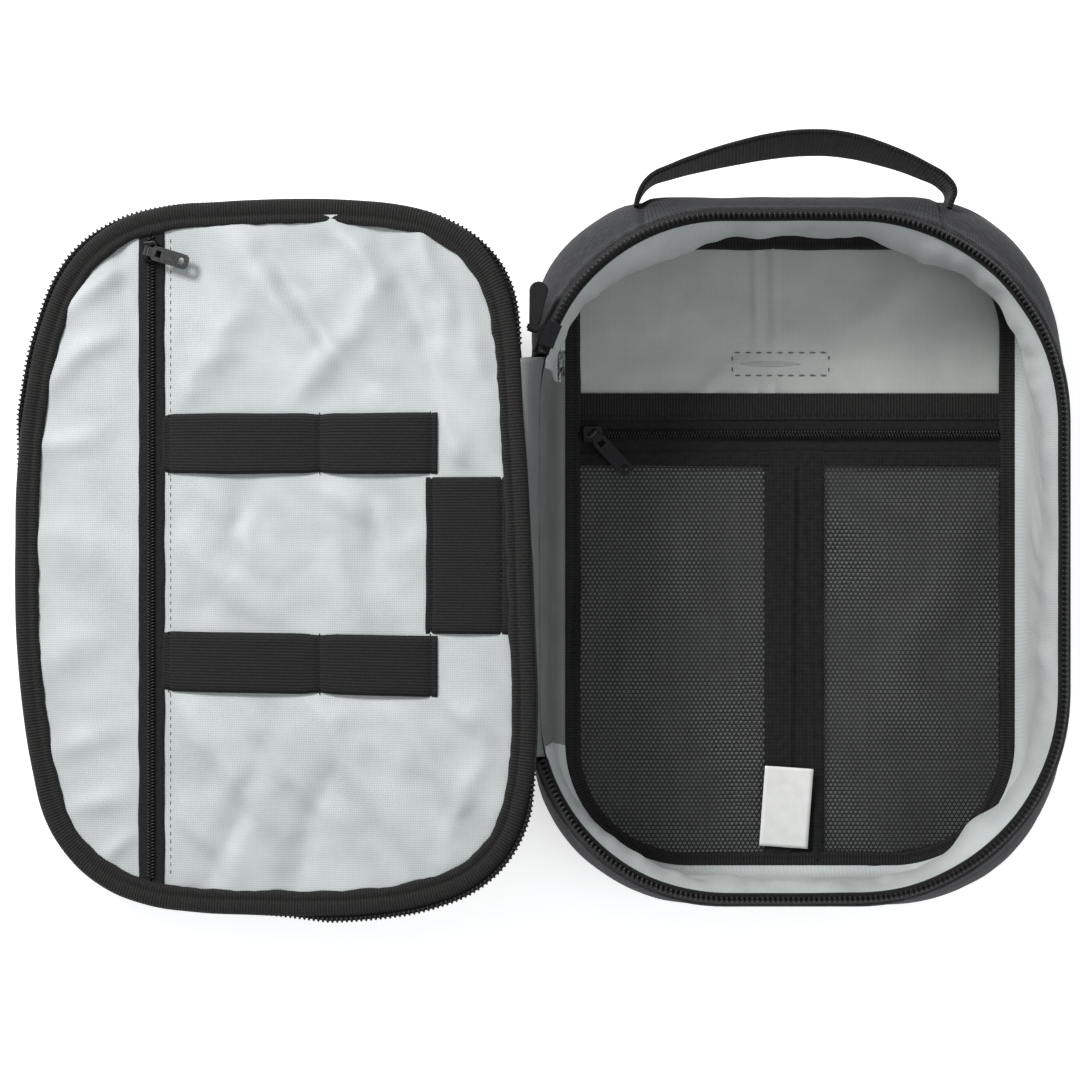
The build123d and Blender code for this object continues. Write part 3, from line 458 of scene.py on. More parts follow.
def wall_panel(name, first, last, node):
    """One padded panel of the outer wall, from seam to seam."""
    span = between(first, last, RIM_Z, 1) - between(first, last, RIM_Z, 0)
    count = round(span / 0.7)
    sections = []
    for n in range(count + 1):
        from_seam = min(n, count - n) * 0.7
        pull = 0.9 * math.exp(-((from_seam / 0.9) ** 2))
        rows = []
        for z, inset in WALL_ROWS:
            k = between(first, last, max(z, 0), n / count)
            soft = math.sin(math.pi * min(max(z, 0) / RIM_Z, 1))
            point = on_wall(k, z, 0)
            wave = 0.55 * ruffle(point.x, point.y, z, 26, 3.1) + 0.25 * ruffle(point.x, point.y, z * 2, 9, 7.7)
            rows.append(on_wall(k, z, inset + soft * (pull - wave)))
        sections.append(rows)
    panel = finished(loft(sections), name, TRAY, heather, 1.0, -1.0)
    return sewn(panel, "tray", "outer_cloth", node)


wall_panel("outer_wall_top", SEAM_RIGHT, SEAM_LEFT, "gusset_top_panel")
wall_panel("outer_wall_left", SEAM_LEFT, ZIP_LAST, "gusset_left_strip")
wall_panel("outer_wall_long", ZIP_FIRST, SEAM_RIGHT, "gusset_long_strip")
wall_panel("outer_wall_spine", ZIP_LAST, ZIP_FIRST, "spine_panel")

# %% [markdown]
# The back is one padded panel of the same heather cloth. It closes the tray from below, so it starts as a
# ring of points on the base's outline and is drawn in, ring by ring, with the middle filled last. Its edge
# is piped.

# %% The tray's back and its piping
def disc(rings):
    """Closed rings of points, outermost first, with the last one filled."""
    bm = loft(rings, tube=True)
    edges = [e for e in bm.edges if e.is_boundary]
    bm.verts.ensure_lookup_table()
    tail = set(list(bm.verts)[-len(rings[-1]):])
    inner = [e for e in edges if e.verts[0] in tail and e.verts[1] in tail]
    bmesh.ops.holes_fill(bm, edges=inner, sides=0)
    flat = bm.loops.layers.uv["flat"]
    for face in bm.faces:
        for corner in face.loops:
            corner[flat].uv = corner.vert.co.xy
    return bm


def base_ring(inset, z, size=1.0):
    """A closed ring on the base's outline, drawn towards the middle by size."""
    ring = []
    for k in range(STATIONS):
        point, out = station(BASE, k)
        ring.append(((point - out * inset) * size).to_3d() + Vector((0, 0, z)))
    return ring


BACK_RINGS = ((0.4, 1.6), (1.2, 0.5), (3.0, 0.05), (12, 0.02), (14, 0.3, 0.8), (14, 0.5, 0.5))
back_panel = disc([base_ring(*ring) for ring in BACK_RINGS])
back_panel = finished(back_panel, "outer_back", TRAY, heather, 0.8, -1.0)
sewn(back_panel, "tray", "outer_cloth", "back_panel")

PIPING_RADIUS, PIPING_Z = 0.9, 1.7
piping_ring = []
for k in range(STATIONS):
    point, out = station(BASE, k)
    centre = (point - out * 0.1).to_3d() + Vector((0, 0, PIPING_Z))
    section = []
    for n in range(8):
        angle = n * math.pi / 4
        rise = Vector((0, 0, PIPING_RADIUS * math.sin(angle)))
        section.append(centre + (out * math.cos(angle) * PIPING_RADIUS).to_3d() + rise)
    piping_ring.append(section)
piping = finished(loft(piping_ring, closed=True, tube=True), "base_piping", TRAY, tape_weave)
sewn(piping, "tray", "outer_cloth")

# %% [markdown]
# Inside, the walls are covered by a light grey taffeta that is sewn to the zip tape at the top and to the
# floor's binding at the foot. It is cut too large, so it sags inwards past the rim before it goes down to
# the floor. By the handle's wall it sags most, and hides the binding but for two gaps. Elsewhere it hangs
# in soft upright creases.

# %% The wall linings
# Height, and how much of the sag is reached there, for the part that hangs from the rim.
HANG_ROWS = (
    (49.6, 0.0), (48.4, 0.12), (46.5, 0.36), (44, 0.62), (41, 0.82), (37.5, 0.95), (33.5, 1.0), (29.5, 0.98)
)
# Height and inset of the part that follows the wall down to the floor.
FOOT_ROWS = ((12.0, 6.2), (9.0, 6.6), (7.4, 7.4), (6.9, 9.0))


def sag(k):
    """How far the lining reaches into the tray past the teeth, in millimetres."""
    point, _ = station(RIM, k)
    loose = 2.6 + 0.9 * ruffle(point.x, point.y, 0, 30, 1.3) + 0.7 * ruffle(point.x, point.y, 0, 11, 5.2)
    top = 5.4 * near(k, 155, 12) + 3.6 * near(k, 126, 8) + 2.6 * near(k, 108, 9)
    return max(1.9, loose + top + 3.2 * near(k, 69, 5) + 1.2 * near(k, 88, 7))


def wall_lining(name, first, last, over, loose, material, *nodes):
    """A lining that hangs from the zip tape to the floor, a little past its seams."""
    span = between(first, last, RIM_Z, 1) - between(first, last, RIM_Z, 0)
    count = round(span / 0.45)
    sections = []
    for n in range(count + 1):
        share = n / count
        extra = over * (2 * share - 1)
        top_k = between(first, last, RIM_Z, share) + extra
        ease = loose * min(1.0, min(n, count - n) / 9)
        depth = mix(2.3 if loose == 1.0 else 1.9, sag(top_k), ease)
        edge, out = station(RIM, top_k)
        rows = []
        for z, reach in HANG_ROWS:
            spot = edge - out * 4.8
            crease = 1.5 * ruffle(spot.x, spot.y, z * 0.5, 12, 2.4)
            crease += 0.9 * ruffle(spot.x, spot.y, z * 0.25, 5.5, 9.1)
            inset = 4.6 + reach * (0.4 + depth + ease * crease)
            rows.append((edge - out * inset).to_3d() + Vector((0, 0, z)))
        low = on_wall(between(first, last, 12.0, share) + extra, 12.0, 6.2)
        for step in (0.35, 0.7):
            point = rows[len(HANG_ROWS) - 1].lerp(low, step)
            crease = 1.3 * ruffle(point.x, point.y, point.z * 0.5, 12, 2.4)
            rows.append(point + (out * -ease * crease * (1 - step)).to_3d())
        for z, inset in FOOT_ROWS:
            k = between(first, last, z, share) + extra
            rows.append(on_wall(k, z, inset))
        sections.append(rows)
    cloth = finished(loft(sections), name, TRAY, material, 0.35, 0.0, 1)
    return sewn(cloth, "tray", "lining", *nodes)


gusset_cloth = wall_lining(
    "wall_lining_long", ZIP_FIRST, ZIP_LAST, 1.2, 1.0, taffeta, "gusset_lining", "gusset_foam"
)
# The hinge wall's lining takes the darker taffeta copy, as painted shade.
spine_cloth = wall_lining(
    "wall_lining_spine", ZIP_LAST, ZIP_FIRST, 0.8, 0.3, painted_shade_taffeta, "spine_lining", "spine_foam"
)

# %% [markdown]
# The back's lining is one flat piece of taffeta. Its upper part shows above the pocket: two sewn ridges run
# down to a small stitched slot, and the cloth puckers away from the slot's corners. A grid of points is
# pushed up and down by a height for each place, which is quicker to steer here than a cloth simulation.

# %% Flat sheets with folds
def fold(x, y, start, end, width, height):
    """The height at a place of one soft fold that runs from start to end."""
    a, b, p = Vector(start), Vector(end), Vector((x, y))
    along = max(0.0, min(1.0, (p - a).dot(b - a) / (b - a).length_squared))
    gap = (p - a.lerp(b, along)).length / width
    fade = math.sin(math.pi * min(max(0.12 + 0.76 * along, 0.0), 1.0))
    return height * fade * math.exp(-gap * gap)


def flat_sheet(x_range, y_range, step, keep, height):
    """A grid in millimetres, cut to what keep allows, and raised by height."""
    width, length = x_range[1] - x_range[0], y_range[1] - y_range[0]
    bm = bmesh.new()
    bmesh.ops.create_grid(
        bm, x_segments=max(1, round(width / step)), y_segments=max(1, round(length / step)), size=0.5
    )
    bmesh.ops.scale(bm, vec=(width, length, 1), verts=bm.verts)
    bmesh.ops.translate(bm, vec=(x_range[0] + width / 2, y_range[0] + length / 2, 0), verts=bm.verts)
    gone = [v for v in bm.verts if not keep(v.co.x, v.co.y)]
    bmesh.ops.delete(bm, geom=gone, context="VERTS")
    flat = bm.loops.layers.uv.new("flat")
    for face in bm.faces:
        for corner in face.loops:
            corner[flat].uv = corner.vert.co.xy
    for point in bm.verts:
        point.co.z = height(point.co.x, point.co.y)
    return bm


def inside(shape, inset):
    """A test for being inside a rounded outline, at an inset."""
    x_low, x_high, y_low, y_high, r_a, r_b, r_c, r_d = shape

    def test(x, y):
        if not (x_low + inset < x < x_high - inset and y_low + inset < y < y_high - inset):
            return False
        right, top = x > (x_low + x_high) / 2, y > (y_low + y_high) / 2
        radius = {(False, False): r_a, (True, False): r_b, (True, True): r_c, (False, True): r_d}[right, top]
        over_x = (x - x_high if right else x_low - x) + radius
        over_y = (y - y_high if top else y_low - y) + radius
        return over_x < 0 or over_y < 0 or math.hypot(over_x, over_y) < radius - inset

    return test


SLOT_STITCH = 3.7
slot_low, slot_high = lo("stitched_patch"), hi("stitched_patch")
slot_x = (slot_low.x + slot_high.x) / 2
slot_y = (slot_low.y + slot_high.y) / 2
SLOT_HALF = ((slot_high.x - slot_low.x) / 2, (slot_high.y - slot_low.y) / 2)
floor_z = lo("pocket_header_band").z
header_y = (lo("pocket_header_band").y, hi("pocket_header_band").y)
zip_y = (lo("pocket_zip_coil").y + hi("pocket_zip_coil").y) / 2


def back_height(x, y):
    """Folds of the back's lining."""
    wx, wy = x + 3 * ruffle(x, y, 0, 24, 4.4), y + 3 * ruffle(x, y, 0, 24, 8.8)
    z = floor_z - 0.45 + 0.35 * ruffle(x, y, 0, 32, 1.0) + 0.15 * ruffle(x, y, 0, 9, 6.0)
    for dx in (-9.5, -3.0):
        z += fold(x, y, (slot_x + dx + 1.2, slot_y + SLOT_HALF[1] + 1), (slot_x + dx, 122), 1.1, 1.3)
        z += fold(
            x, y, (slot_x + dx + 1.0, slot_y - SLOT_HALF[1] - 1), (slot_x + dx, header_y[1] - 6), 1.2, 1.1
        )
    for sx in (-1, 1):
        corner = (slot_x + sx * SLOT_HALF[0], slot_y)
        z += fold(wx, wy, corner, (slot_x + sx * 52, slot_y + 38), 6.5, 1.5)
        z += fold(wx, wy, corner, (slot_x + sx * 60, slot_y - 4), 5.0, 0.9)
        z += fold(wx, wy, corner, (slot_x + sx * 30, slot_y - 15), 3.0, 1.0)
        z -= fold(wx, wy, corner, (slot_x + sx * 44, slot_y + 14), 5.0, 1.0)
    away = max(abs(x - slot_x) - SLOT_HALF[0], abs(y - slot_y) - SLOT_HALF[1])
    if away < 8:
        pucker = 0.5 + 0.5 * math.cos(
            2 * math.pi * (x if abs(y - slot_y) > SLOT_HALF[1] - 1 else y) / SLOT_STITCH
        )
        z -= 0.45 * math.exp(-abs(away) / 1.2) + 0.5 * pucker * math.exp(-abs(away) / 2.2)
    return z


back_cloth = flat_sheet((BASE[0], BASE[1]), (BASE[2], BASE[3]), 1.2, inside(BASE, 8.5), back_height)
back_cloth = finished(back_cloth, "back_lining_cloth", TRAY, inside_taffeta, 0.3, -1.0)
sewn(back_cloth, "tray", "lining", "back_lining", "back_foam")

# %% [markdown]
# A stitch is a short thread with rounded ends, half sunk in the cloth. Sewing machines make them evenly, so
# one helper drops a small squashed sphere at each place of a line. The same helper makes zip teeth, where
# the rounded piece stands for one turn of the nylon coil.

# %% Stitches and teeth
def beads(stations_, size, segments=(8, 4)):
    """One small rounded piece of a size in millimetres at each (place, along, up)."""
    bm = bmesh.new()
    bmesh.ops.create_uvsphere(bm, u_segments=segments[0], v_segments=segments[1], radius=0.5)
    one = bpy.data.meshes.new("bead")
    bm.to_mesh(one)
    bm.clear()
    for place, along, up in stations_:
        along = along.normalized()
        up = (up - along * up.dot(along)).normalized()
        turn = Matrix((along, up.cross(along), up)).transposed().to_4x4()
        turn.translation = place
        copy = one.copy()
        copy.transform(turn @ Matrix.Diagonal((*size, 1)))
        bm.from_mesh(copy)
        bpy.data.meshes.remove(copy)
    bpy.data.meshes.remove(one)
    return bm


def even_height(z):
    """A height function for a level cloth."""
    return lambda x, y: z


def stitch_line(points, pitch, height, lift=0.12):
    """Stations for stitches along a broken line on a sheet whose height is a function."""
    found = []
    for a, b in zip(points, points[1:]):
        a, b = Vector(a), Vector(b)
        count = max(1, round((b - a).length / pitch))
        for n in range(count):
            p = a.lerp(b, (n + 0.5) / count)
            found.append((Vector((p.x, p.y, height(p.x, p.y) + lift)), (b - a).to_3d(), Vector((0, 0, 1))))
    return found


left, right = slot_x - SLOT_HALF[0], slot_x + SLOT_HALF[0]
low, high = slot_y - SLOT_HALF[1], slot_y + SLOT_HALF[1]
slot_corners = [(left, low), (right, low), (right, high), (left, high), (left, low)]
slot_box = stitch_line(slot_corners, SLOT_STITCH, back_height, 0.25)
slot_stitches = finished(beads(slot_box, (2.2, 0.62, 0.6)), "slot_stitches", TRAY, grey_thread)
sewn(slot_stitches, "tray", "lining", "stitched_patch")

LIP = ((0.2, -0.2), (0.5, 0.2), (1.3, 0.34), (2.4, 0.02))
LIPS = tuple((-side, rise) for side, rise in reversed(LIP)) + LIP
slit = []
for n in range(25):
    share = n / 24
    x = mix(left + 3.0, right - 10.5, share)
    half = 0.34 * math.sin(math.pi * share) + 0.04
    slit.append([Vector((x, slot_y + side * half, back_height(x, slot_y) + rise)) for side, rise in LIPS])
slit_edge = finished(loft(slit), "slot_lips", TRAY, inside_taffeta, 0.15, 0.0)
sewn(slit_edge, "tray", "lining")

# %% [markdown]
# Black grosgrain binds the floor all the way round. It is folded once, so it lies in two steps: a wide flat
# part and a narrow folded lip at its inner side. A slow wave keeps it from looking like moulded plastic.

# %% The floor's binding
BAND = (
    (8.0, 0.2), (9.0, 0.9), (10.5, 1.15), (12.0, 1.15), (13.0, 0.75), (13.4, 0.6), (14.2, 0.95),
    (15.2, 0.8), (15.6, 0.15),
)
sections = []
for k in stations(0, STATIONS, 0.5)[:-1]:
    point, out = station(BASE, k)
    wave = 0.5 * ruffle(point.x, point.y, 0, 14, 2.2)
    rows = []
    for inset, rise in BAND:
        spot = (point - out * (inset - 2.9 + wave * (1 if inset > 12 else 0.3))).to_3d()
        rows.append(spot + Vector((0, 0, floor_z + rise + 0.25 * ruffle(spot.x, spot.y, inset, 9, 5.0))))
    sections.append(rows)
floor_band = finished(loft(sections, closed=True), "floor_binding_tape", TRAY, grosgrain, 0.35, 1.0)
sewn(floor_band, "tray", "binding", "floor_binding")

# %% [markdown]
# The floor pocket hangs from a header band of ribbed tape. Below it come the two woven tapes of a small zip
# and its coil, and the mesh starts at the lower tape. Each strip is a grid with its own relief: a sewn edge
# dips along its stitches, and the loose edge stands up a little.

# %% The pocket's header band and zip tapes
def strip_x(name, y_range, relief, material, slot, *nodes):
    """A strip across the tray's floor between the bindings. relief is a height over (x, share across)."""
    def tall(x, y):
        return floor_z + relief(x, (y - y_range[0]) / (y_range[1] - y_range[0]))

    sheet = flat_sheet((BASE[0] + 8, BASE[1] - 8), y_range, 0.8, inside(BASE, 9.0), tall)
    piece = finished(sheet, name, TRAY, material, 0.35, -1.0)
    return sewn(piece, "tray", slot, *nodes)


def header_relief(x, share):
    """Flat and crisp, with the stitches' dent near the lower edge."""
    return 0.75 + 0.12 * ruffle(x, share * 9, 0, 18, 1.5) - 0.35 * math.exp(-(((share - 0.17) / 0.05) ** 2))


def tape_relief(x, share):
    """A slightly cupped tape."""
    return 0.42 + 0.25 * (share - 0.5) ** 2 + 0.1 * ruffle(x, share * 5, 0, 16, 3.5)


def lower_relief(x, share):
    """The lower tape, with the turned edge of the mesh sewn on it."""
    step = 0.75 if share < 0.42 else 0.35
    return step - 0.3 * math.exp(-(((share - 0.3) / 0.06) ** 2)) + 0.12 * ruffle(x, share * 5, 0, 16, 3.5)


strip_x("pocket_header_tape", header_y, header_relief, grosgrain, "binding", "pocket_header_band")
upper = (zip_y + 0.4, header_y[0] + 0.4)
lower = (lo("pocket_zip_tape_lower").y - 0.6, zip_y - 0.4)
strip_x("pocket_tape_upper", upper, tape_relief, tape_weave, "zip_tape", "pocket_zip_tape_upper")
strip_x("pocket_tape_lower", lower, lower_relief, tape_weave, "zip_tape", "pocket_zip_tape_lower")


edge_x = (lo("pocket_header_band").x, hi("pocket_header_band").x)
rows = stitch_line(
    [(edge_x[0], header_y[0] + 1.6), (edge_x[1], header_y[0] + 1.6)], 3.2, even_height(floor_z + 0.45)
)
rows += stitch_line(
    [(edge_x[0], mix(*lower, 0.3)), (edge_x[1], mix(*lower, 0.3))], 3.2, even_height(floor_z + 0.5)
)
pocket_stitches = finished(beads(rows, (2.2, 0.45, 0.4), (6, 4)), "pocket_stitches", TRAY, black_thread)
sewn(pocket_stitches, "tray", "zip_tape")

# %% [markdown]
# A closed coil zip looks like a plait, because turns from the left and the right lock in the middle. Each
# turn is one rounded piece that leans a little, and the two sides are half a pitch apart.

# %% Coils of the two pocket zips
COIL_PITCH = 1.1


def coil(name, start, end, node, body, place):
    """A closed coil between two points, given in millimetres, with its top up."""
    start, end = Vector(start), Vector(end)
    along = (end - start).normalized()
    side = Vector((0, 0, 1)).cross(along)
    turns = []
    for n in range(int((end - start).length / COIL_PITCH * 2)):
        hand = 1 if n % 2 else -1
        centre = start + along * (n * COIL_PITCH / 2) + side * hand * 0.66
        turns.append((centre, side + along * hand * 0.28, Vector((0, 0, 1)) + side * hand * 0.25))
    piece = finished(beads(turns, (2.1, 0.78, 1.25), (8, 5)), name, place, coil_nylon)
    return sewn(piece, body, "zip_coil", node)


coil_z = (lo("pocket_zip_coil").z + hi("pocket_zip_coil").z) / 2
coil(
    "pocket_coil_turns", (edge_x[0] + 0.3, zip_y, coil_z), (edge_x[1] - 0.3, zip_y, coil_z),
    "pocket_zip_coil", "tray", TRAY,
)

# %% [markdown]
# The pocket's net is knitted with six-sided holes. Real holes let the grey lining show through in the right
# way from every side, so they are modelled: one six-sided cell is repeated by two Array modifiers, every
# cell is inset by the width of half a strand, and the middles are deleted.

# %% Net with real holes
NET_PITCH = 1.6
STRAND = 0.38
STRAND_THICK = 0.22


def net(x_range, y_range, keep, height):
    """A net of six-sided holes over a rectangle, cut by keep and raised by height."""
    radius = NET_PITCH / math.sqrt(3)
    bm = bmesh.new()
    for shift in ((0, 0), (NET_PITCH / 2, 1.5 * radius)):
        place = Matrix.Translation((x_range[0] + shift[0], y_range[0] + shift[1], 0))
        turned = place @ Matrix.Rotation(math.pi / 6, 4, "Z")
        bmesh.ops.create_circle(bm, cap_ends=True, segments=6, radius=radius, matrix=turned)
    mesh = bpy.data.meshes.new("net_cell")
    bm.to_mesh(mesh)
    bm.free()
    cell = bpy.data.objects.new("net_cell", mesh)
    bpy.context.scene.collection.objects.link(cell)
    for axis, pitch, span in ((0, NET_PITCH, x_range), (1, 3 * radius, y_range)):
        rows = cell.modifiers.new("rows", "ARRAY")
        rows.use_relative_offset, rows.use_constant_offset = False, True
        rows.constant_offset_displace = [pitch if n == axis else 0 for n in range(3)]
        rows.count = int((span[1] - span[0]) / pitch) + 1
    whole = bpy.data.meshes.new_from_object(cell.evaluated_get(bpy.context.evaluated_depsgraph_get()))
    bpy.data.objects.remove(cell)
    bm = bmesh.new()
    bm.from_mesh(whole)
    bmesh.ops.remove_doubles(bm, verts=bm.verts, dist=0.05)
    gone = [f for f in bm.faces if not keep(*f.calc_center_median().xy)]
    bmesh.ops.delete(bm, geom=gone, context="FACES")
    holes = list(bm.faces)
    bmesh.ops.inset_individual(bm, faces=holes, thickness=STRAND)
    bmesh.ops.delete(bm, geom=holes, context="FACES_ONLY")
    for point in bm.verts:
        point.co.z = height(point.co.x, point.co.y)
    return bm


NET_FOLDS = (
    ((-50, 30), (-22, -40), 9, 1.6), ((-30, 20), (-66, -60), 8, 1.1), ((-62, -20), (-30, -96), 8, 1.2),
    ((20, 28), (62, 10), 8, 1.5), ((66, 20), (30, -60), 10, 1.4), ((22, -30), (72, -84), 9, 1.1),
    ((-78, -40), (-60, 20), 6, 0.9), ((44, -100), (20, -60), 7, 1.0),
)


def net_height(x, y):
    """The net lies over the lining with shallow waves."""
    wx, wy = x + 4 * ruffle(x, y, 0, 30, 7.0), y + 4 * ruffle(x, y, 0, 30, 3.0)
    z = floor_z + 0.7 + 0.55 * ruffle(wx, wy, 0, 34, 2.0)
    for start, end, width, height in NET_FOLDS:
        z += fold(wx, wy, start, end, width, height)
    hem = max(0.0, 1 - (net_high - y) / 9)
    return max(z * (1 - hem) + (floor_z + 0.5) * hem, floor_z + 0.3)


inside_floor = inside(BASE, 9.5)
divider = (lo("pocket_divider").x, hi("pocket_divider").x)
net_low, net_high = BASE[2] + 9, lower[0] + 2.2


def pocket_net(side, x_range, keep_side):
    """One of the pocket's two nets, between the floor's binding and the divider."""
    def keep(x, y):
        return inside_floor(x, y) and keep_side(x) and y < net_high

    cloth = net(x_range, (net_low, net_high), keep, net_height)
    cloth = finished(cloth, "pocket_net_" + side, TRAY, net_nylon, STRAND_THICK, 0.0, smooth=False)
    sewn(cloth, "tray", "mesh", "pocket_mesh_" + side)


pocket_net("left", (BASE[0] + 6, divider[0] + 2.5), lambda x: x < divider[0] + 2)
pocket_net("right", (divider[1] - 2.5, BASE[1] - 6), lambda x: x > divider[1] - 2)

# %% [markdown]
# The two nets meet on a divider that is sewn down to the back. Its cloth is doubled and has a pleat, which
# opens like a narrow wedge towards the bottom, so that the pocket can swell. The pleat is a real groove
# between two lips.

# %% The pocket's divider and its pleat
pleat_top = Vector((divider[0] + 12.0, net_high - 6))


def divider_height(x, y):
    """A doubled cloth with a wedge-shaped groove."""
    down = max(0.0, (pleat_top.y - y) / 130)
    half = 0.6 + 3.4 * down
    centre = pleat_top.x + 1.5 * down
    gap = abs(x - centre)
    z = floor_z + 1.15 + 0.15 * ruffle(x, y, 0, 16, 1.0)
    if y < pleat_top.y:
        z -= 0.75 * max(0.0, min(1.0, (half - gap) / 0.7 + 0.5))
        z += 0.3 * math.exp(-(((gap - half - 0.7) / 0.8) ** 2))
    edge = min(x - divider[0], divider[1] - x)
    return z - 0.5 * math.exp(-max(edge, 0) / 0.7)


divider_cloth = flat_sheet(divider, (net_low, net_high), 0.7, inside_floor, divider_height)
divider_cloth = finished(divider_cloth, "pocket_divider_cloth", TRAY, double_net, 0.3, -1.0)
sewn(divider_cloth, "tray", "mesh", "pocket_divider")


def border_height(x, y):
    """A hem over the net's top edge."""
    return floor_z + 1.0 + 0.12 * ruffle(x, y, 0, 14, 4.0)


hem_y = (net_high - 5.4, lower[0] + 1.6)
hem = flat_sheet((BASE[0] + 8, BASE[1] - 8), hem_y, 0.8, inside(BASE, 9.2), border_height)
sewn(finished(hem, "pocket_net_hem", TRAY, double_net, 0.25, -1.0), "tray", "mesh")

# %% [markdown]
# The care label is a short loop of white satin ribbon. It is stitched at its lower edge, and the rest lifts
# and curls slightly. Its text is left out.

# %% The care label
label_joint = next(j for j in frame["joints"] if j["name"] == "label_flip")
label_origin = Vector(label_joint["pos_m"]) / MM
label_along = Vector(label_joint["axis"]).normalized()
label_up = Vector((0, 0, 1)).cross(label_along)
LABEL_SIZE = (17.2, 28.5)
sections = []
for n in range(25):
    up = n / 24
    rows = []
    for m in range(13):
        across = m / 12 - 0.5
        curl = 0.5 * up * across * across * 4
        rise = 0.75 + 1.1 * up * up + curl + 0.12 * ruffle(across * 20, up * 20, 0, 8, 3.0)
        spot = label_origin + label_along * across * LABEL_SIZE[0] + label_up * up * LABEL_SIZE[1]
        rows.append(spot + Vector((0, 0, rise)))
    sections.append(rows)
label = finished(loft(sections), "care_label_ribbon", TRAY, satin, 0.22, 0.0)
sewn(label, "label", "label", "care_label")

# %% [markdown]
# The main zip is a size 5 coil. Its half on the tray is a woven tape that leans in over the wall, with one
# row of turns along its upper edge. It runs from one end of the hinge wall round to the other, and its two
# ends are folded back.

# %% The main zip's half on the tray
TAPE_ROWS = (
    (46.2, 0.2), (47.4, 0.9), (48.6, 1.35), (50.2, 1.8), (51.0, 2.4), (51.3, 3.4), (50.9, 4.4), (50.2, 4.7)
)
MAIN_PITCH = 1.75
teeth_z = (lo("body_zip_teeth").z + hi("body_zip_teeth").z) / 2


def rim_length():
    """Length of each step between stations along the teeth, and the total."""
    ks = stations(ZIP_START, ZIP_END, 0.25)
    spots = [on_wall(k, RIM_Z, 3.1) for k in ks]
    run = [0.0]
    for a, b in zip(spots, spots[1:]):
        run.append(run[-1] + (b - a).length)
    return ks, run


def even(ks, run, pitch):
    """Station numbers at an even pitch along a measured run."""
    found, n = [], 0
    for step in range(int(run[-1] / pitch) + 1):
        target = step * pitch
        while n < len(run) - 2 and run[n + 1] < target:
            n += 1
        found.append(mix(ks[n], ks[n + 1], (target - run[n]) / (run[n + 1] - run[n])))
    return found


sections = []
for k in stations(ZIP_START, ZIP_END, 0.5):
    point, _ = station(RIM, k)
    drift = 0.25 * ruffle(point.x, point.y, 0, 22, 6.0)
    rows = []
    for z, inset in TAPE_ROWS:
        spot, out = station(RIM, k)
        rows.append((spot - out * (inset + drift)).to_3d() + Vector((0, 0, z)))
    sections.append(rows)
rim_tape = finished(loft(sections), "main_zip_tape_tray", TRAY, tape_weave, 0.45, 0.0)
sewn(rim_tape, "tray", "zip_tape", "body_zip_tape")

teeth = []
for k in even(*rim_length(), MAIN_PITCH):
    spot, out = station(RIM, k)
    drift = 0.25 * ruffle(spot.x, spot.y, 0, 22, 6.0)
    place = (spot - out * (3.0 + drift)).to_3d() + Vector((0, 0, teeth_z + 0.1))
    teeth.append((place, out.to_3d(), Vector((0, 0, 1))))
print("rim teeth", len(teeth))
rim_teeth = finished(beads(teeth, (2.5, 1.15, 1.7), (8, 5)), "main_zip_teeth_tray", TRAY, coil_nylon)
sewn(rim_teeth, "tray", "zip_coil", "body_zip_teeth")

# %% [markdown]
# The lid is joined to the tray by cloth only. Inside, a strip of the light lining climbs from the hinge wall's
# lining to the lid's binding, drawn in a darker taffeta as painted shade; outside, a strip of the heather cloth
# hangs in a fold below the open lid. Both follow the tray at one edge and the lid at the other, and bend
# between the two.

# %% Cloth across the hinge
SPINE_START, SPINE_END = ZIP_END + 0.4, STATIONS + ZIP_START - 0.4


def hinge_strip(name, rows, material, node, thick):
    """A strip along the hinge wall. rows are (share towards the lid, x, z) points from the tray to the lid."""
    sections = []
    for k in stations(SPINE_START, SPINE_END, 0.5):
        foot = on_wall(k, RIM_Z, 0)
        points = []
        for share, x, z in rows:
            edge_pull = (foot.x - hinge_x) * (1 - share)
            wave = 0.35 * math.sin(math.pi * share) * ruffle(foot.y, z, 0, 12, 2.0)
            points.append(Vector((x + edge_pull + wave, foot.y * mix(1.0, 0.985, share), z)))
        sections.append(points)
    strip = finished(loft(sections), name, TRAY, material, thick, 0.0)
    if node:
        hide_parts(node)
    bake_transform(strip)
    return strip


INNER_ROWS = (
    (0.0, hinge_x + 5.2, 45.5), (0.12, hinge_x + 4.9, 47.5), (0.35, hinge_x + 4.0, 50.2),
    (0.6, hinge_x + 2.6, 53.0), (0.82, hinge_x + 0.6, 55.2), (0.93, hinge_x - 1.2, 56.0),
    (1.0, hinge_x - 3.4, 55.4),
)
OUTER_ROWS = (
    (0.0, hinge_x + 0.7, 44.5), (0.08, hinge_x - 0.3, 46.0), (0.3, hinge_x - 2.6, 47.0),
    (0.5, hinge_x - 5.2, 46.4), (0.7, hinge_x - 7.6, 45.6), (0.88, hinge_x - 9.0, 45.7),
    (1.0, hinge_x - 10.0, 46.4),
)
# The inner strip takes the darker taffeta copy, as painted shade.
hinge_strip("hinge_cloth_inner", INNER_ROWS, painted_shade_taffeta, "hinge_cloth", 0.35)
hinge_strip("hinge_cloth_outer", OUTER_ROWS, heather, None, 0.8)
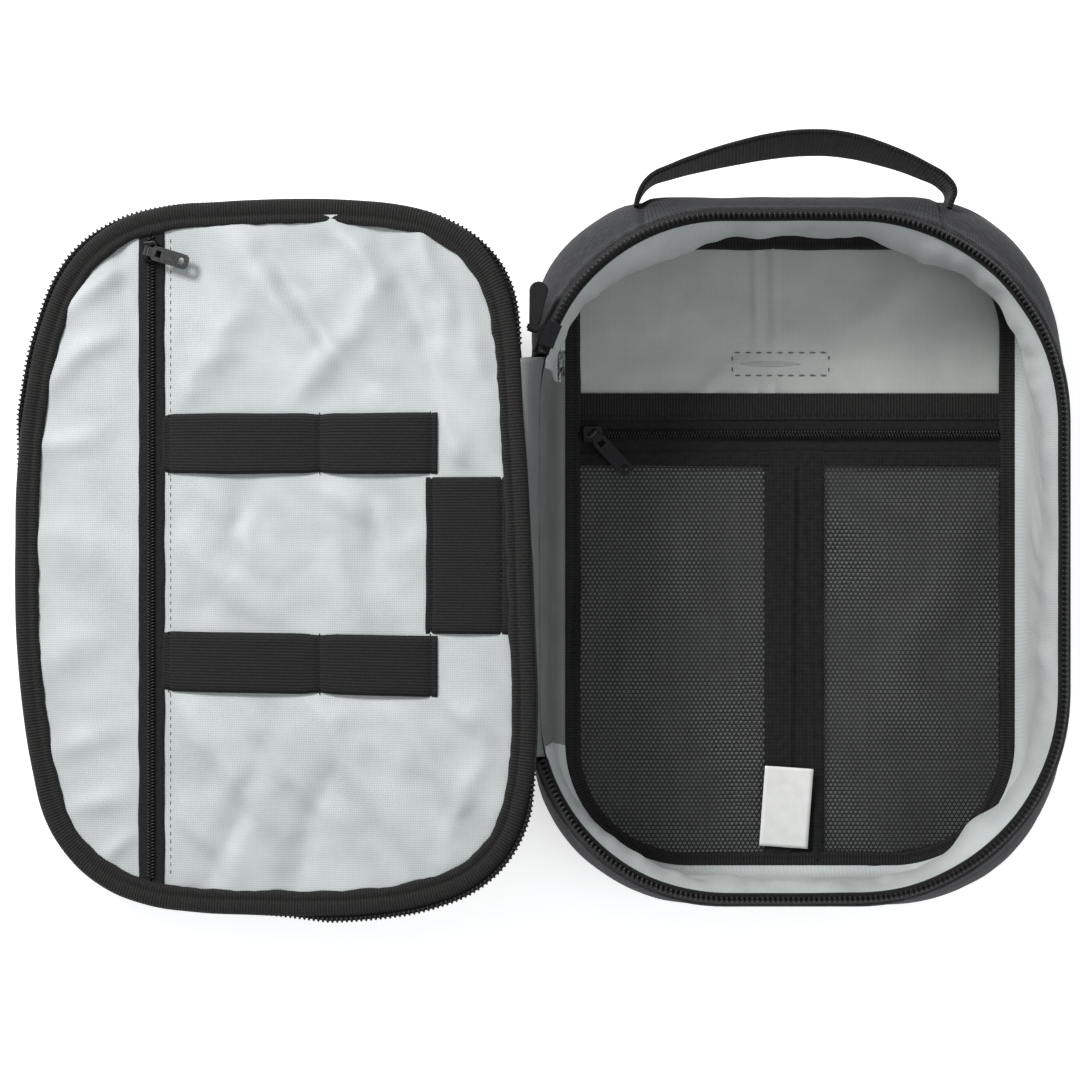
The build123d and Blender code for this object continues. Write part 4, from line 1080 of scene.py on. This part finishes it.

# %% [markdown]
# The lid's edge isn't a true rounded rectangle: soft cloth pulls it tighter at the hinge's corners and lets
# it swing out at the free side. So its edge is one smooth closed curve through given points in the lid's
# plane, and each tape, panel and row of teeth is an offset of that curve.

# %% The lid's outline
LID_EDGE = (
    (-188.4, 0), (-187.9, 24), (-184.9, 54), (-178.7, 81), (-168.0, 103), (-151.5, 116.6), (-132.6, 122.2),
    (-110.9, 123.4), (-86.5, 123.6), (-62, 122.4), (-42.9, 119.9), (-27.5, 114.6), (-15.8, 105.4), (-7.8, 92.5),
    (-4.0, 76), (-1.6, 46), (0.2, 18), (1.6, -20), (2.6, -60), (0.4, -80), (-5.2, -97), (-16.5, -109.8),
    (-33.5, -117.8), (-54, -122), (-74, -123.7), (-98, -124.1), (-122, -123.8), (-141, -121.4), (
        -156.5, -115.4
    ),
    (-168.5, -105.6), (-176.5, -94), (-182.2, -73.7), (-186.4, -46.8), (-188.2, -22),
)
LID_STATIONS = 330


def smooth_curve(points, closed, steps):
    """Close points on a smooth flat curve through given points, and how far along it each one is."""
    curve = bpy.data.curves.new("edge", "CURVE")
    curve.dimensions = "2D"
    curve.fill_mode = "NONE"
    spline = curve.splines.new("BEZIER")
    spline.bezier_points.add(len(points) - 1)
    for knot, (x, y) in zip(spline.bezier_points, points):
        knot.co = (x, y, 0)
        knot.handle_left_type = knot.handle_right_type = "AUTO"
    spline.use_cyclic_u = closed
    curve.resolution_u = steps
    holder = bpy.data.objects.new("edge", curve)
    bpy.context.scene.collection.objects.link(holder)
    mesh = bpy.data.meshes.new_from_object(holder.evaluated_get(bpy.context.evaluated_depsgraph_get()))
    dense = [v.co.xy.copy() for v in mesh.vertices]
    bpy.data.objects.remove(holder)
    if closed:
        dense.append(dense[0])
    run = [0.0]
    for a, b in zip(dense, dense[1:]):
        run.append(run[-1] + (b - a).length)
    return dense, run


def smooth_loop(points, count):
    """Evenly spaced points and outward directions on a closed curve through given points."""
    dense, run = smooth_curve(points, True, 16)
    found, n = [], 0
    for step in range(count):
        target = run[-1] * step / count
        while run[n + 1] < target:
            n += 1
        found.append(dense[n].lerp(dense[n + 1], (target - run[n]) / (run[n + 1] - run[n])))
    for _ in range(3):
        found = [(found[i - 1] + found[i] * 2 + found[(i + 1) % count]) / 4 for i in range(count)]
    loop = []
    for i in range(count):
        tangent = (found[(i + 1) % count] - found[i - 1]).normalized()
        loop.append((found[i], Vector((-tangent.y, tangent.x))))
    print("lid edge", round(run[-1]), "mm round")
    return loop


lid_loop = smooth_loop(LID_EDGE, LID_STATIONS)


def on_lid(index, inset, height):
    """A point in the lid's plane: a station of its edge, how far inside, and a height above the inner face."""
    point, out = lid_loop[index % LID_STATIONS]
    return (point - out * inset).to_3d() + Vector((0, 0, height))


print("lid edge first point", [round(v, 1) for v in on_lid(0, 0, 0)])

# %% [markdown]
# The lid's outside is one moulded, padded panel. Its rings go from under the binding, over the soft side
# and round to the flat, which crowns by a few millimetres.

# %% The lid's outer cloth
LID_RINGS = (
    (1.4, -1.3), (0.6, -1.9), (0.0, -2.8), (-0.2, -3.9), (0.1, -5.2), (0.8, -6.4), (2.0, -7.3), (3.6, -7.8),
    (5.0, -7.6), (6.5, -8.0), (12, -8.4), (20, -8.8), (32, -9.1), (48, -9.3), (62, -9.3),
)


def lid_ring(inset, height):
    """One ring of the lid's skin, with a soft uneven side."""
    ring = []
    for i in range(LID_STATIONS):
        spot = on_lid(i, inset, height)
        soft = 0.5 * ruffle(spot.x, spot.y, height * 3, 24, 1.0) * min(1.0, 0.3 + inset / 30)
        ring.append(spot + Vector((0, 0, soft)))
    return ring


lid_cloth = finished(disc([lid_ring(i, h) for i, h in LID_RINGS]), "lid_outer_cloth", LID, heather, 0.9, -1.0)
sewn(lid_cloth, "lid", "outer_cloth", "lid_panel", "lid_foam")

# %% [markdown]
# The binding wraps the lid's raw edge, and it is sewn through near its inner side. So its section is a
# raised roll, a stitched dip and a narrow lip. Its ribs run across, as in all grosgrain, and the lip
# wanders a little.

# %% The lid's binding
BINDING = (
    (0.3, -2.3), (-0.25, -1.2), (-0.2, -0.2), (0.5, 0.45), (1.6, 0.75), (3.0, 0.7), (4.3, 0.35),
    (5.0, -0.25), (5.5, 0.1), (6.4, 0.3), (7.3, 0.15), (7.9, -0.5), (8.0, -1.3),
)
sections = []
for i in range(LID_STATIONS):
    spot = on_lid(i, 0, 0)
    lip = 0.7 * ruffle(spot.x, spot.y, 0, 11, 4.0) + 0.35 * ruffle(spot.x, spot.y, 0, 4, 9.0)
    roll = 0.35 * ruffle(spot.x, spot.y, 0, 17, 2.0)
    rows = []
    for inset, height in BINDING:
        shift = (lip if inset > 6 else 0) + (roll * 0.5 if inset < 2 else 0)
        rows.append(on_lid(i, inset + shift, height + (roll if 0 < inset < 5 else 0)))
    sections.append(rows)
lid_binding = finished(loft(sections, closed=True), "lid_binding_tape", LID, grosgrain, 0.4, 0.0)
sewn(lid_binding, "lid", "binding", "lid_binding")

# %% [markdown]
# The lid's half of the main zip is sewn between the panel and the binding. With the lid open its tape curls
# outwards at the corners, where its teeth show beyond the binding, and tucks under it along the straight
# sides.

# %% The main zip's half on the lid
# Where the tape curls out of the binding, and how far round each place.
CURLS = (
    ((-172, 98), 38), ((-186, 62), 26), ((-8, 92), 24), ((-30, -119), 30), ((-62, -124), 22),
    ((-4, -92), 20),
)


def lean(index):
    """From 0 where the tape is tucked under the binding to 1 where it curls out."""
    point, _ = lid_loop[index % LID_STATIONS]
    return min(1.0, sum(math.exp(-(((point - Vector(spot)).length / reach) ** 2)) for spot, reach in CURLS))


def zip_open(index):
    """True where the lid has a zip, which is everywhere but the hinge side."""
    point, _ = lid_loop[index % LID_STATIONS]
    return not (point.x > -60 and abs(point.y) < 70)


LID_TAPE_FOOT = (1.6, -1.0)
first = next(i for i in range(LID_STATIONS) if zip_open(i) and not zip_open(i - 1))
count = sum(zip_open(i) for i in range(LID_STATIONS))
sections, teeth_path = [], []
for n in range(count):
    i = first + n
    out = lean(i)
    tip = (mix(0.3, -2.2, out), mix(-1.9, -0.6, out))
    rows = []
    for s in (0, 0.25, 0.5, 0.75, 1.0):
        bow = 0.3 * math.sin(math.pi * s)
        rows.append(on_lid(i, mix(LID_TAPE_FOOT[0], tip[0], s), mix(LID_TAPE_FOOT[1], tip[1], s) - bow))
    sections.append(rows)
    teeth_path.append((on_lid(i, tip[0] + 0.4, tip[1] + 0.1), rows[-1] - rows[-2]))
lid_tape = finished(loft(sections), "main_zip_tape_lid", LID, tape_weave, 0.45, 0.0)
sewn(lid_tape, "lid", "zip_tape", "lid_zip_tape")

run = [0.0]
for (a, _), (b, _) in zip(teeth_path, teeth_path[1:]):
    run.append(run[-1] + (b - a).length)
teeth, n = [], 0
for step in range(int(run[-1] / MAIN_PITCH)):
    target = step * MAIN_PITCH
    while run[n + 1] < target:
        n += 1
    share = (target - run[n]) / (run[n + 1] - run[n])
    place = teeth_path[n][0].lerp(teeth_path[n + 1][0], share)
    path = teeth_path[n + 1][0] - teeth_path[n][0]
    teeth.append((place, teeth_path[n][1], path.cross(teeth_path[n][1])))
lid_teeth = finished(beads(teeth, (2.4, 1.1, 1.5), (8, 5)), "main_zip_teeth_lid", LID, coil_nylon)
sewn(lid_teeth, "lid", "zip_coil", "lid_zip_teeth")
print("lid teeth", len(teeth))

# %% [markdown]
# The lid is lined with the same taffeta, in two pieces with the pocket's zip between them. The large piece
# is loose: broad folds run down from its upper edge and fan out from the ends of the elastics. The narrow
# pocket piece is smoother, with a few short folds that start at the binding.

# %% The lid's linings
coil_ends = [lid_turn.inverted() @ corner for corner in (lo("lid_pocket_coil"), hi("lid_pocket_coil"))]
lid_zip_x = (coil_ends[0].x + coil_ends[1].x) / 2
lining_level = -1.9
TAPE_HALF = 4.85
LID_STITCH = 2.7


def inside_lid(inset):
    """A test for being inside the lid's edge, at an inset."""
    ring = [on_lid(i, inset, 0).xy for i in range(0, LID_STATIONS, 3)]
    angles = sorted((math.atan2(p.y, p.x + 93), math.hypot(p.x + 93, p.y)) for p in ring)

    def test(x, y):
        angle, reach = math.atan2(y, x + 93), math.hypot(x + 93, y)
        for (a, r), (b, s) in zip(angles, angles[1:] + [(angles[0][0] + 2 * math.pi, angles[0][1])]):
            if a <= angle <= b:
                return reach < mix(r, s, (angle - a) / (b - a))
        return reach < angles[0][1]

    return test


ELASTICS = {"elastic_upper": 39.2, "elastic_lower": -37.0}
ELASTIC_HALF = 10.5
ELASTIC_STITCH = 1.9
SIDE_MIDDLE = (lo("elastic_side").y + hi("elastic_side").y) / 2
elastic_x = (lid_zip_x + TAPE_HALF, -32.0)
divide_x = mix(*elastic_x, 0.575)
LID_FOLDS = (
    ((-112, 116), (-74, 66), 9, 1.7), ((-96, 108), (-60, 58), 6, -1.3), ((-70, 121), (-46, 78), 7, 1.6),
    ((-56, 118), (-30, 62), 6, -1.2), ((-38, 112), (-26, 66), 6, 1.5), ((-84, 52), (-48, 96), 7, 1.1),
    ((-128, 52), (-104, 88), 8, 1.1), ((-32, 50), (-14, 20), 5, 1.2), ((-24, 88), (-12, 44), 6, 1.2),
    ((-118, 26), (-92, -8), 8, 1.3), ((-76, 27), (-44, 4), 7, 1.2), ((-126, 4), (-86, -24), 8, 1.1),
    ((-60, 25), (-52, -4), 6, -1.1), ((-104, 27), (-110, -2), 7, -1.1), ((-60, -25), (-70, 8), 7, 0.9),
    ((-126, -50), (-96, -92), 8, 1.6), ((-110, -49), (-60, -102), 8, 1.4), ((-78, -49), (-34, -108), 8, 1.6),
    ((-50, -49), (-20, -92), 7, 1.3), ((-118, -118), (-98, -70), 7, -1.2), ((-88, -116), (-70, -76), 7, -1.2),
    ((-30, -50), (-12, -66), 5, 1.0), ((-128, -84), (-104, -116), 6, 1.1), ((-16, -70), (-30, -104), 6, 1.0),
)


def lid_height(x, y):
    """Folds of the large lining, held down along its seams and under the elastics."""
    wx = x + 5 * ruffle(x, y, 0, 26, 4.4) + 2 * ruffle(x, y, 0, 9, 1.4)
    wy = y + 5 * ruffle(x, y, 0, 26, 8.8) + 2 * ruffle(x, y, 0, 9, 5.4)
    z = 0.55 * ruffle(x * 0.7, y * 1.2, 0, 19, 3.0) + 0.3 * ruffle(x, y, 0, 8, 5.0)
    for start, end, width, height in LID_FOLDS:
        z += fold(wx, wy, start, end, width * 0.72, height * 1.9)
    if x > -40 and abs(y - SIDE_MIDDLE) < 34:
        z *= min(1.0, max(0.0, abs(y - SIDE_MIDDLE) - 29) / 5 + max(0.0, -36 - x) / 4)
    held = 1.0 - math.exp(-((x - lid_zip_x - TAPE_HALF) / 5.0) ** 2)
    for middle in ELASTICS.values():
        gap = max(abs(y - middle) - ELASTIC_HALF + 1, 0)
        if x < elastic_x[1] + 2:
            held *= 1.0 - 0.95 * math.exp(-((gap / 5.0) ** 2))
    seam = x - (lid_zip_x + TAPE_HALF + 1.6)
    dimple = 0.35 * math.exp(-((seam / 0.8) ** 2)) * (0.6 + 0.4 * math.cos(2 * math.pi * y / LID_STITCH))
    return lining_level + 0.5 + z * held - dimple


def pocket_height(x, y):
    """The pocket's piece: gentle, with short folds at the binding."""
    wx, wy = x + 3 * ruffle(x, y, 0, 20, 4.4), y + 3 * ruffle(x, y, 0, 20, 8.8)
    z = 0.5 * ruffle(x * 0.8, y * 0.5, 0, 24, 6.0) + 0.15 * ruffle(x, y, 0, 7, 2.0)
    for start, end, width, height in (
        ((-178, 62), (-152, 78), 5, 1.2), ((-170, 84), (-146, 104), 5, 1.3), ((-180, 40), (-158, 44), 6, 0.9),
        ((-182, 8), (-152, 0), 9, 0.7), ((-180, -40), (-156, -30), 7, 0.7), ((-176, -70), (-148, -60), 6, 0.9),
        ((-168, -92), (-146, -84), 5, 1.0), ((-158, -108), (-144, -98), 4, 0.9), (
            (-150, 112), (-144, 86), 5, -0.9
        ),
    ):
        z += fold(wx, wy, start, end, width * 0.8, height * 1.7)
    return lining_level + 0.5 + z


lid_cut = inside_lid(4.5)
LID_Y = (-124, 124)
big = flat_sheet((lid_zip_x + 1.0, 2), LID_Y, 1.5, lid_cut, lid_height)
lid_lining = sewn(finished(big, "lid_lining_cloth", LID, taffeta, 0.3, -1.0), "lid", "lining", "lid_lining")
small = flat_sheet((-190, lid_zip_x - 1.0), LID_Y, 1.5, lid_cut, pocket_height)
small = finished(small, "lid_pocket_cloth", LID, taffeta, 0.3, -1.0)
pocket_lining = sewn(small, "lid", "lining", "lid_pocket_lining")

seam_x = lid_zip_x + TAPE_HALF + 2.2
seam_stitches = stitch_line([(seam_x, -112), (seam_x, 112)], LID_STITCH, lid_height, 0.1)
lid_stitches = beads(seam_stitches, (1.7, 0.4, 0.35), (6, 4))
lid_stitches = finished(lid_stitches, "lid_lining_stitches", LID, grey_thread)
sewn(lid_stitches, "lid", "lining")

# %% [markdown]
# The lid's pocket zip has two woven tapes, each a long strip beside the coil. Their outer edges wave a
# little, because the loose lining pulls on them. The slider and the pull tab are the measured ones from the
# frame.

# %% The lid's zip tapes and coil
tape_cut = inside_lid(6.0)


def lid_tape_height(x, y):
    """A tape that rises a little to the coil."""
    near_coil = math.exp(-(((x - lid_zip_x) / 2.6) ** 2))
    return lining_level + 0.85 + 0.2 * near_coil + 0.14 * ruffle(x * 2, y, 0, 16, 3.5)


def lid_strip(name, x_range, node):
    """One of the lid's two zip tapes, parallel to the hinge."""
    strip = flat_sheet(x_range, LID_Y, 0.9, tape_cut, lid_tape_height)
    flat = strip.loops.layers.uv["flat"]
    for face in strip.faces:
        for corner in face.loops:
            corner[flat].uv = (corner.vert.co.y, corner.vert.co.x)
    for point in strip.verts:
        edge = abs(point.co.x - lid_zip_x) / TAPE_HALF
        if edge > 0.8:
            point.co.x += 0.45 * ruffle(point.co.x, point.co.y, 0, 12, 6.0)
    sewn(finished(strip, name, LID, tape_weave, 0.4, -1.0), "lid", "zip_tape", node)


lid_strip("lid_tape_outer", (lid_zip_x - TAPE_HALF, lid_zip_x - 0.35), "lid_pocket_tape_outer")
lid_strip("lid_tape_inner", (lid_zip_x + 0.35, lid_zip_x + TAPE_HALF), "lid_pocket_tape_inner")
coil_top = lining_level + 1.35
coil(
    "lid_coil_turns", (lid_zip_x, -112.5, coil_top), (lid_zip_x, 112.5, coil_top), "lid_pocket_coil", "lid",
    LID,
)

# %% [markdown]
# Each elastic is a ribbed band that is sewn down at three places, so it makes two loops. Between the seams
# it stands off the lining, and its ribs run along its length. Its section is swept from end to end, and
# both ends are turned under, which shows as a thicker, rounded edge.

# %% The two long elastics
def elastic(name, middle, node, tilt_end):
    """A sewn elastic with two loops."""
    sections = []
    x0, x1 = elastic_x[0] - 0.5, elastic_x[1]
    seams = (x0 + 2.2, divide_x, x1 - 2.4)
    for n in range(121):
        x = mix(x0, x1, n / 120)
        stand = 0.0
        for a, b in zip(seams, seams[1:]):
            if a < x < b:
                stand = 1.5 * math.sin(math.pi * (x - a) / (b - a)) ** 0.6
        dent = sum(0.55 * math.exp(-(((x - s) / 0.7) ** 2)) for s in seams)
        narrow = 0.5 * math.exp(-(((x - seams[1]) / 4) ** 2)) + 0.7 * math.exp(-(((x - x0) / 2.0) ** 2))
        rows = []
        for m in range(13):
            across = m / 12 * 2 - 1
            edge_drop = 0.5 * max(0.0, abs(across) - 0.86) / 0.14
            half = ELASTIC_HALF - narrow + 0.25 * ruffle(x, middle + across * 9, 0, 20, 1.0)
            y = middle + across * half + tilt_end * (n / 120 - 0.5)
            z = lining_level + 1.25 + stand - dent * 0.8 - edge_drop + 0.12 * ruffle(x, y, 0, 9, 2.0)
            rows.append(Vector((x, y, z)))
        sections.append(rows)
    band = finished(loft(sections), name, LID, elastic_weave, 0.9, -1.0)
    sewn(band, "lid", "elastic", node)
    lines = []
    for s in seams:
        ends = [(s, middle - ELASTIC_HALF - 0.6), (s, middle + ELASTIC_HALF + 0.6)]
        lines += stitch_line(ends, ELASTIC_STITCH, even_height(lining_level + 0.95), 0.05)
    return lines


elastic_stitches = []
for name, middle in ELASTICS.items():
    elastic_stitches += elastic(name + "_band", middle, name, -0.8)

# %% [markdown]
# The wide band at the hinge side is sewn under the binding at one edge and to the lining at the other.
# Short ends of the long elastics are folded under it, so its free edge isn't quite straight.

# %% The side elastic
side_y = (lo("elastic_side").y, hi("elastic_side").y)
side_x = (-36.0, -5.5)
sections = []
for n in range(49):
    x = mix(side_x[0], side_x[1], n / 48)
    seams = (side_x[0] + 2.0, -9.4)
    stand = 0.9 * math.sin(math.pi * min(max((x - seams[0]) / (seams[1] - seams[0]), 0), 1)) ** 0.6
    dent = sum(0.5 * math.exp(-(((x - s) / 0.6) ** 2)) for s in seams)
    rows = []
    for m in range(33):
        y = mix(side_y[0], side_y[1], m / 32)
        drop = 0.5 * max(0.0, abs(m / 16 - 1) - 0.94) / 0.06
        wander = 0.35 * ruffle(0, y, 0, 16, 4.0) * (1 - n / 48)
        z = lining_level + 1.2 + stand - dent - drop + 0.12 * ruffle(x, y, 0, 8, 5.0)
        rows.append(Vector((x + wander, y, z)))
    sections.append(rows)
side_band = finished(loft(sections), "elastic_side_band", LID, elastic_weave, 0.9, -1.0)
sewn(side_band, "lid", "elastic", "elastic_side")
for s in seams:
    ends = [(s, side_y[0]), (s, side_y[1])]
    elastic_stitches += stitch_line(ends, ELASTIC_STITCH, even_height(lining_level + 1.0), 0.0)
threads_bm = beads(elastic_stitches, (1.2, 0.45, 0.4), (6, 4))
sewn(finished(threads_bm, "elastic_stitches", LID, black_thread), "lid", "elastic")

# %% [markdown]
# The handle is one length of ribbed webbing. It comes out of the seam at each end of the top wall, and it
# leans as it crosses the middle, so from above it shows its face there and only its edge at the ends. Near
# each seam it has to bend when the handle tips; here it is one fixed piece that isn't attached to a body.

# %% The handle's webbing
pivot = next(j for j in frame["joints"] if j["name"] == "handle_tip")["pos_m"]
pivot_y, pivot_z = pivot[1] / MM, pivot[2] / MM
HANDLE_PATH = (
    (-55.2, 121.2), (-54.6, 124.4), (-50.6, 130.6), (-42.5, 134.2), (-32.4, 137.4), (-20, 140.6),
    (-7.1, 143.2), (4.5, 144.3), (16.4, 143.7), (32.3, 139.6), (45.0, 134.4), (52.0, 130.4), (54.6, 126.4),
    (53.8, 123.0), (53.0, 120.6),
)
# Half of the webbing's section, as (across, depth), with rounded edges. The other half is its mirror image.
WEBBING_FACE = (
    (-10, -0.3), (-9.6, -0.85), (-8.6, -0.9), (-4, -0.85), (0, -0.85), (4, -0.85), (8.6, -0.9), (9.6, -0.85),
    (10, -0.3),
)
WEBBING_SECTION = WEBBING_FACE + tuple((across, -depth) for across, depth in reversed(WEBBING_FACE))


def smooth_path(points, count):
    """Evenly spaced points on an open smooth curve."""
    dense, run = smooth_curve(points, False, 12)
    found, n = [], 0
    for step in range(count + 1):
        target = run[-1] * step / count
        while n < len(run) - 2 and run[n + 1] < target:
            n += 1
        found.append(dense[n].lerp(dense[n + 1], (target - run[n]) / (run[n + 1] - run[n])))
    return found, run[-1]


path, handle_length = smooth_path(HANDLE_PATH, 130)
print("webbing", round(handle_length), "mm")
sections = []
for n, spot in enumerate(path):
    share = n / (len(path) - 1)
    ahead = (path[min(n + 1, len(path) - 1)] - path[max(n - 1, 0)]).normalized()
    out = Vector((-ahead.y, ahead.x, 0))
    lean_angle = math.radians(17) * math.sin(math.pi * share) ** 1.4
    wide = Vector((0, 0, 1)) * math.cos(lean_angle) + out * math.sin(lean_angle)
    thick = out * math.cos(lean_angle) - Vector((0, 0, 1)) * math.sin(lean_angle)
    centre = spot.to_3d() + Vector((0, 0, pivot_z + 0.5 * math.sin(9 * share)))
    rows = []
    for across, depth in WEBBING_SECTION:
        rows.append(centre + wide * across + thick * depth)
    sections.append(rows)
handle = finished(loft(sections, tube=True), "handle_strap", TRAY, webbing_weave)
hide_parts("handle_webbing", "handle_end_left", "handle_end_right")
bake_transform(handle)

# %% [markdown]
# The hard pieces keep their measured shapes, because they slide and turn on each other with small
# clearances. They only need finishes: black enamel for the sliders and the floor pocket's pull tab, gunmetal
# plate for the lid pocket's pull tab, and a satin moulded black for the main puller.

# %% Finishes of the sliders and pulls
for node, finish in (
    ("lid_pocket_slider", enamel),
    ("pocket_zip_slider", enamel),
    ("main_zip_slider", enamel),
    ("lid_pocket_pull_tab", gunmetal),
    ("pocket_pull_tab", enamel),
    ("main_zip_puller", moulded),
):
    part = frame["nodes"][node]
    part.data.materials.clear()
    part.data.materials.append(finish)

# %% [markdown]
# A plain white table, a large soft lamp above and a bright sky make the flat, even light of a product
# picture. The camera looks straight down from a little over a metre, above the gap between the lid and the
# tray.

# %% Table, light and camera
pale = solid_finish("pale_table", (0.97, 0.97, 0.97), 0.9, 0.0, 5.0, 0.0, 0.01)
glow = pale.node_tree.nodes["Principled BSDF"]
glow.inputs["Emission Color"].default_value = (1, 1, 1, 1)
glow.inputs["Emission Strength"].default_value = 0.55
bm = bmesh.new()
bmesh.ops.create_grid(bm, x_segments=1, y_segments=1, size=4000)
table = finished(bm, "table", Matrix.Translation((0, 0, -0.0004)) @ TRAY, pale)

world = bpy.data.worlds.new("studio")
bpy.context.scene.world = world
world.use_nodes = True
world.node_tree.nodes["Background"].inputs["Color"].default_value = (0.95, 0.97, 1.0, 1)
world.node_tree.nodes["Background"].inputs["Strength"].default_value = 0.46


def lamp(name, place, target, size, power):
    """A square soft lamp that faces a target."""
    light = bpy.data.lights.new(name, "AREA")
    light.size = size
    light.energy = power
    holder = bpy.data.objects.new(name, light)
    holder.location = place
    holder.rotation_euler = (Vector(target) - Vector(place)).to_track_quat("-Z", "Y").to_euler()
    bpy.context.scene.collection.objects.link(holder)


POUCH_MIDDLE = (-0.09, 0, 0)
lamp("key", (-0.95, 0.85, 0.8), POUCH_MIDDLE, 0.4, 21)
lamp("fill", (0.9, -0.5, 1.6), POUCH_MIDDLE, 1.2, 7)

EYE = (-0.0885, 0.0058, 1.056)
lens = bpy.data.cameras.new("camera")
lens.sensor_width = 36
lens.lens = 98.33
lens.clip_start = 0.01
camera = bpy.data.objects.new("camera", lens)
camera.location = EYE
bpy.context.scene.collection.objects.link(camera)
bpy.context.scene.camera = camera
bpy.context.scene.view_settings.view_transform = "Standard"
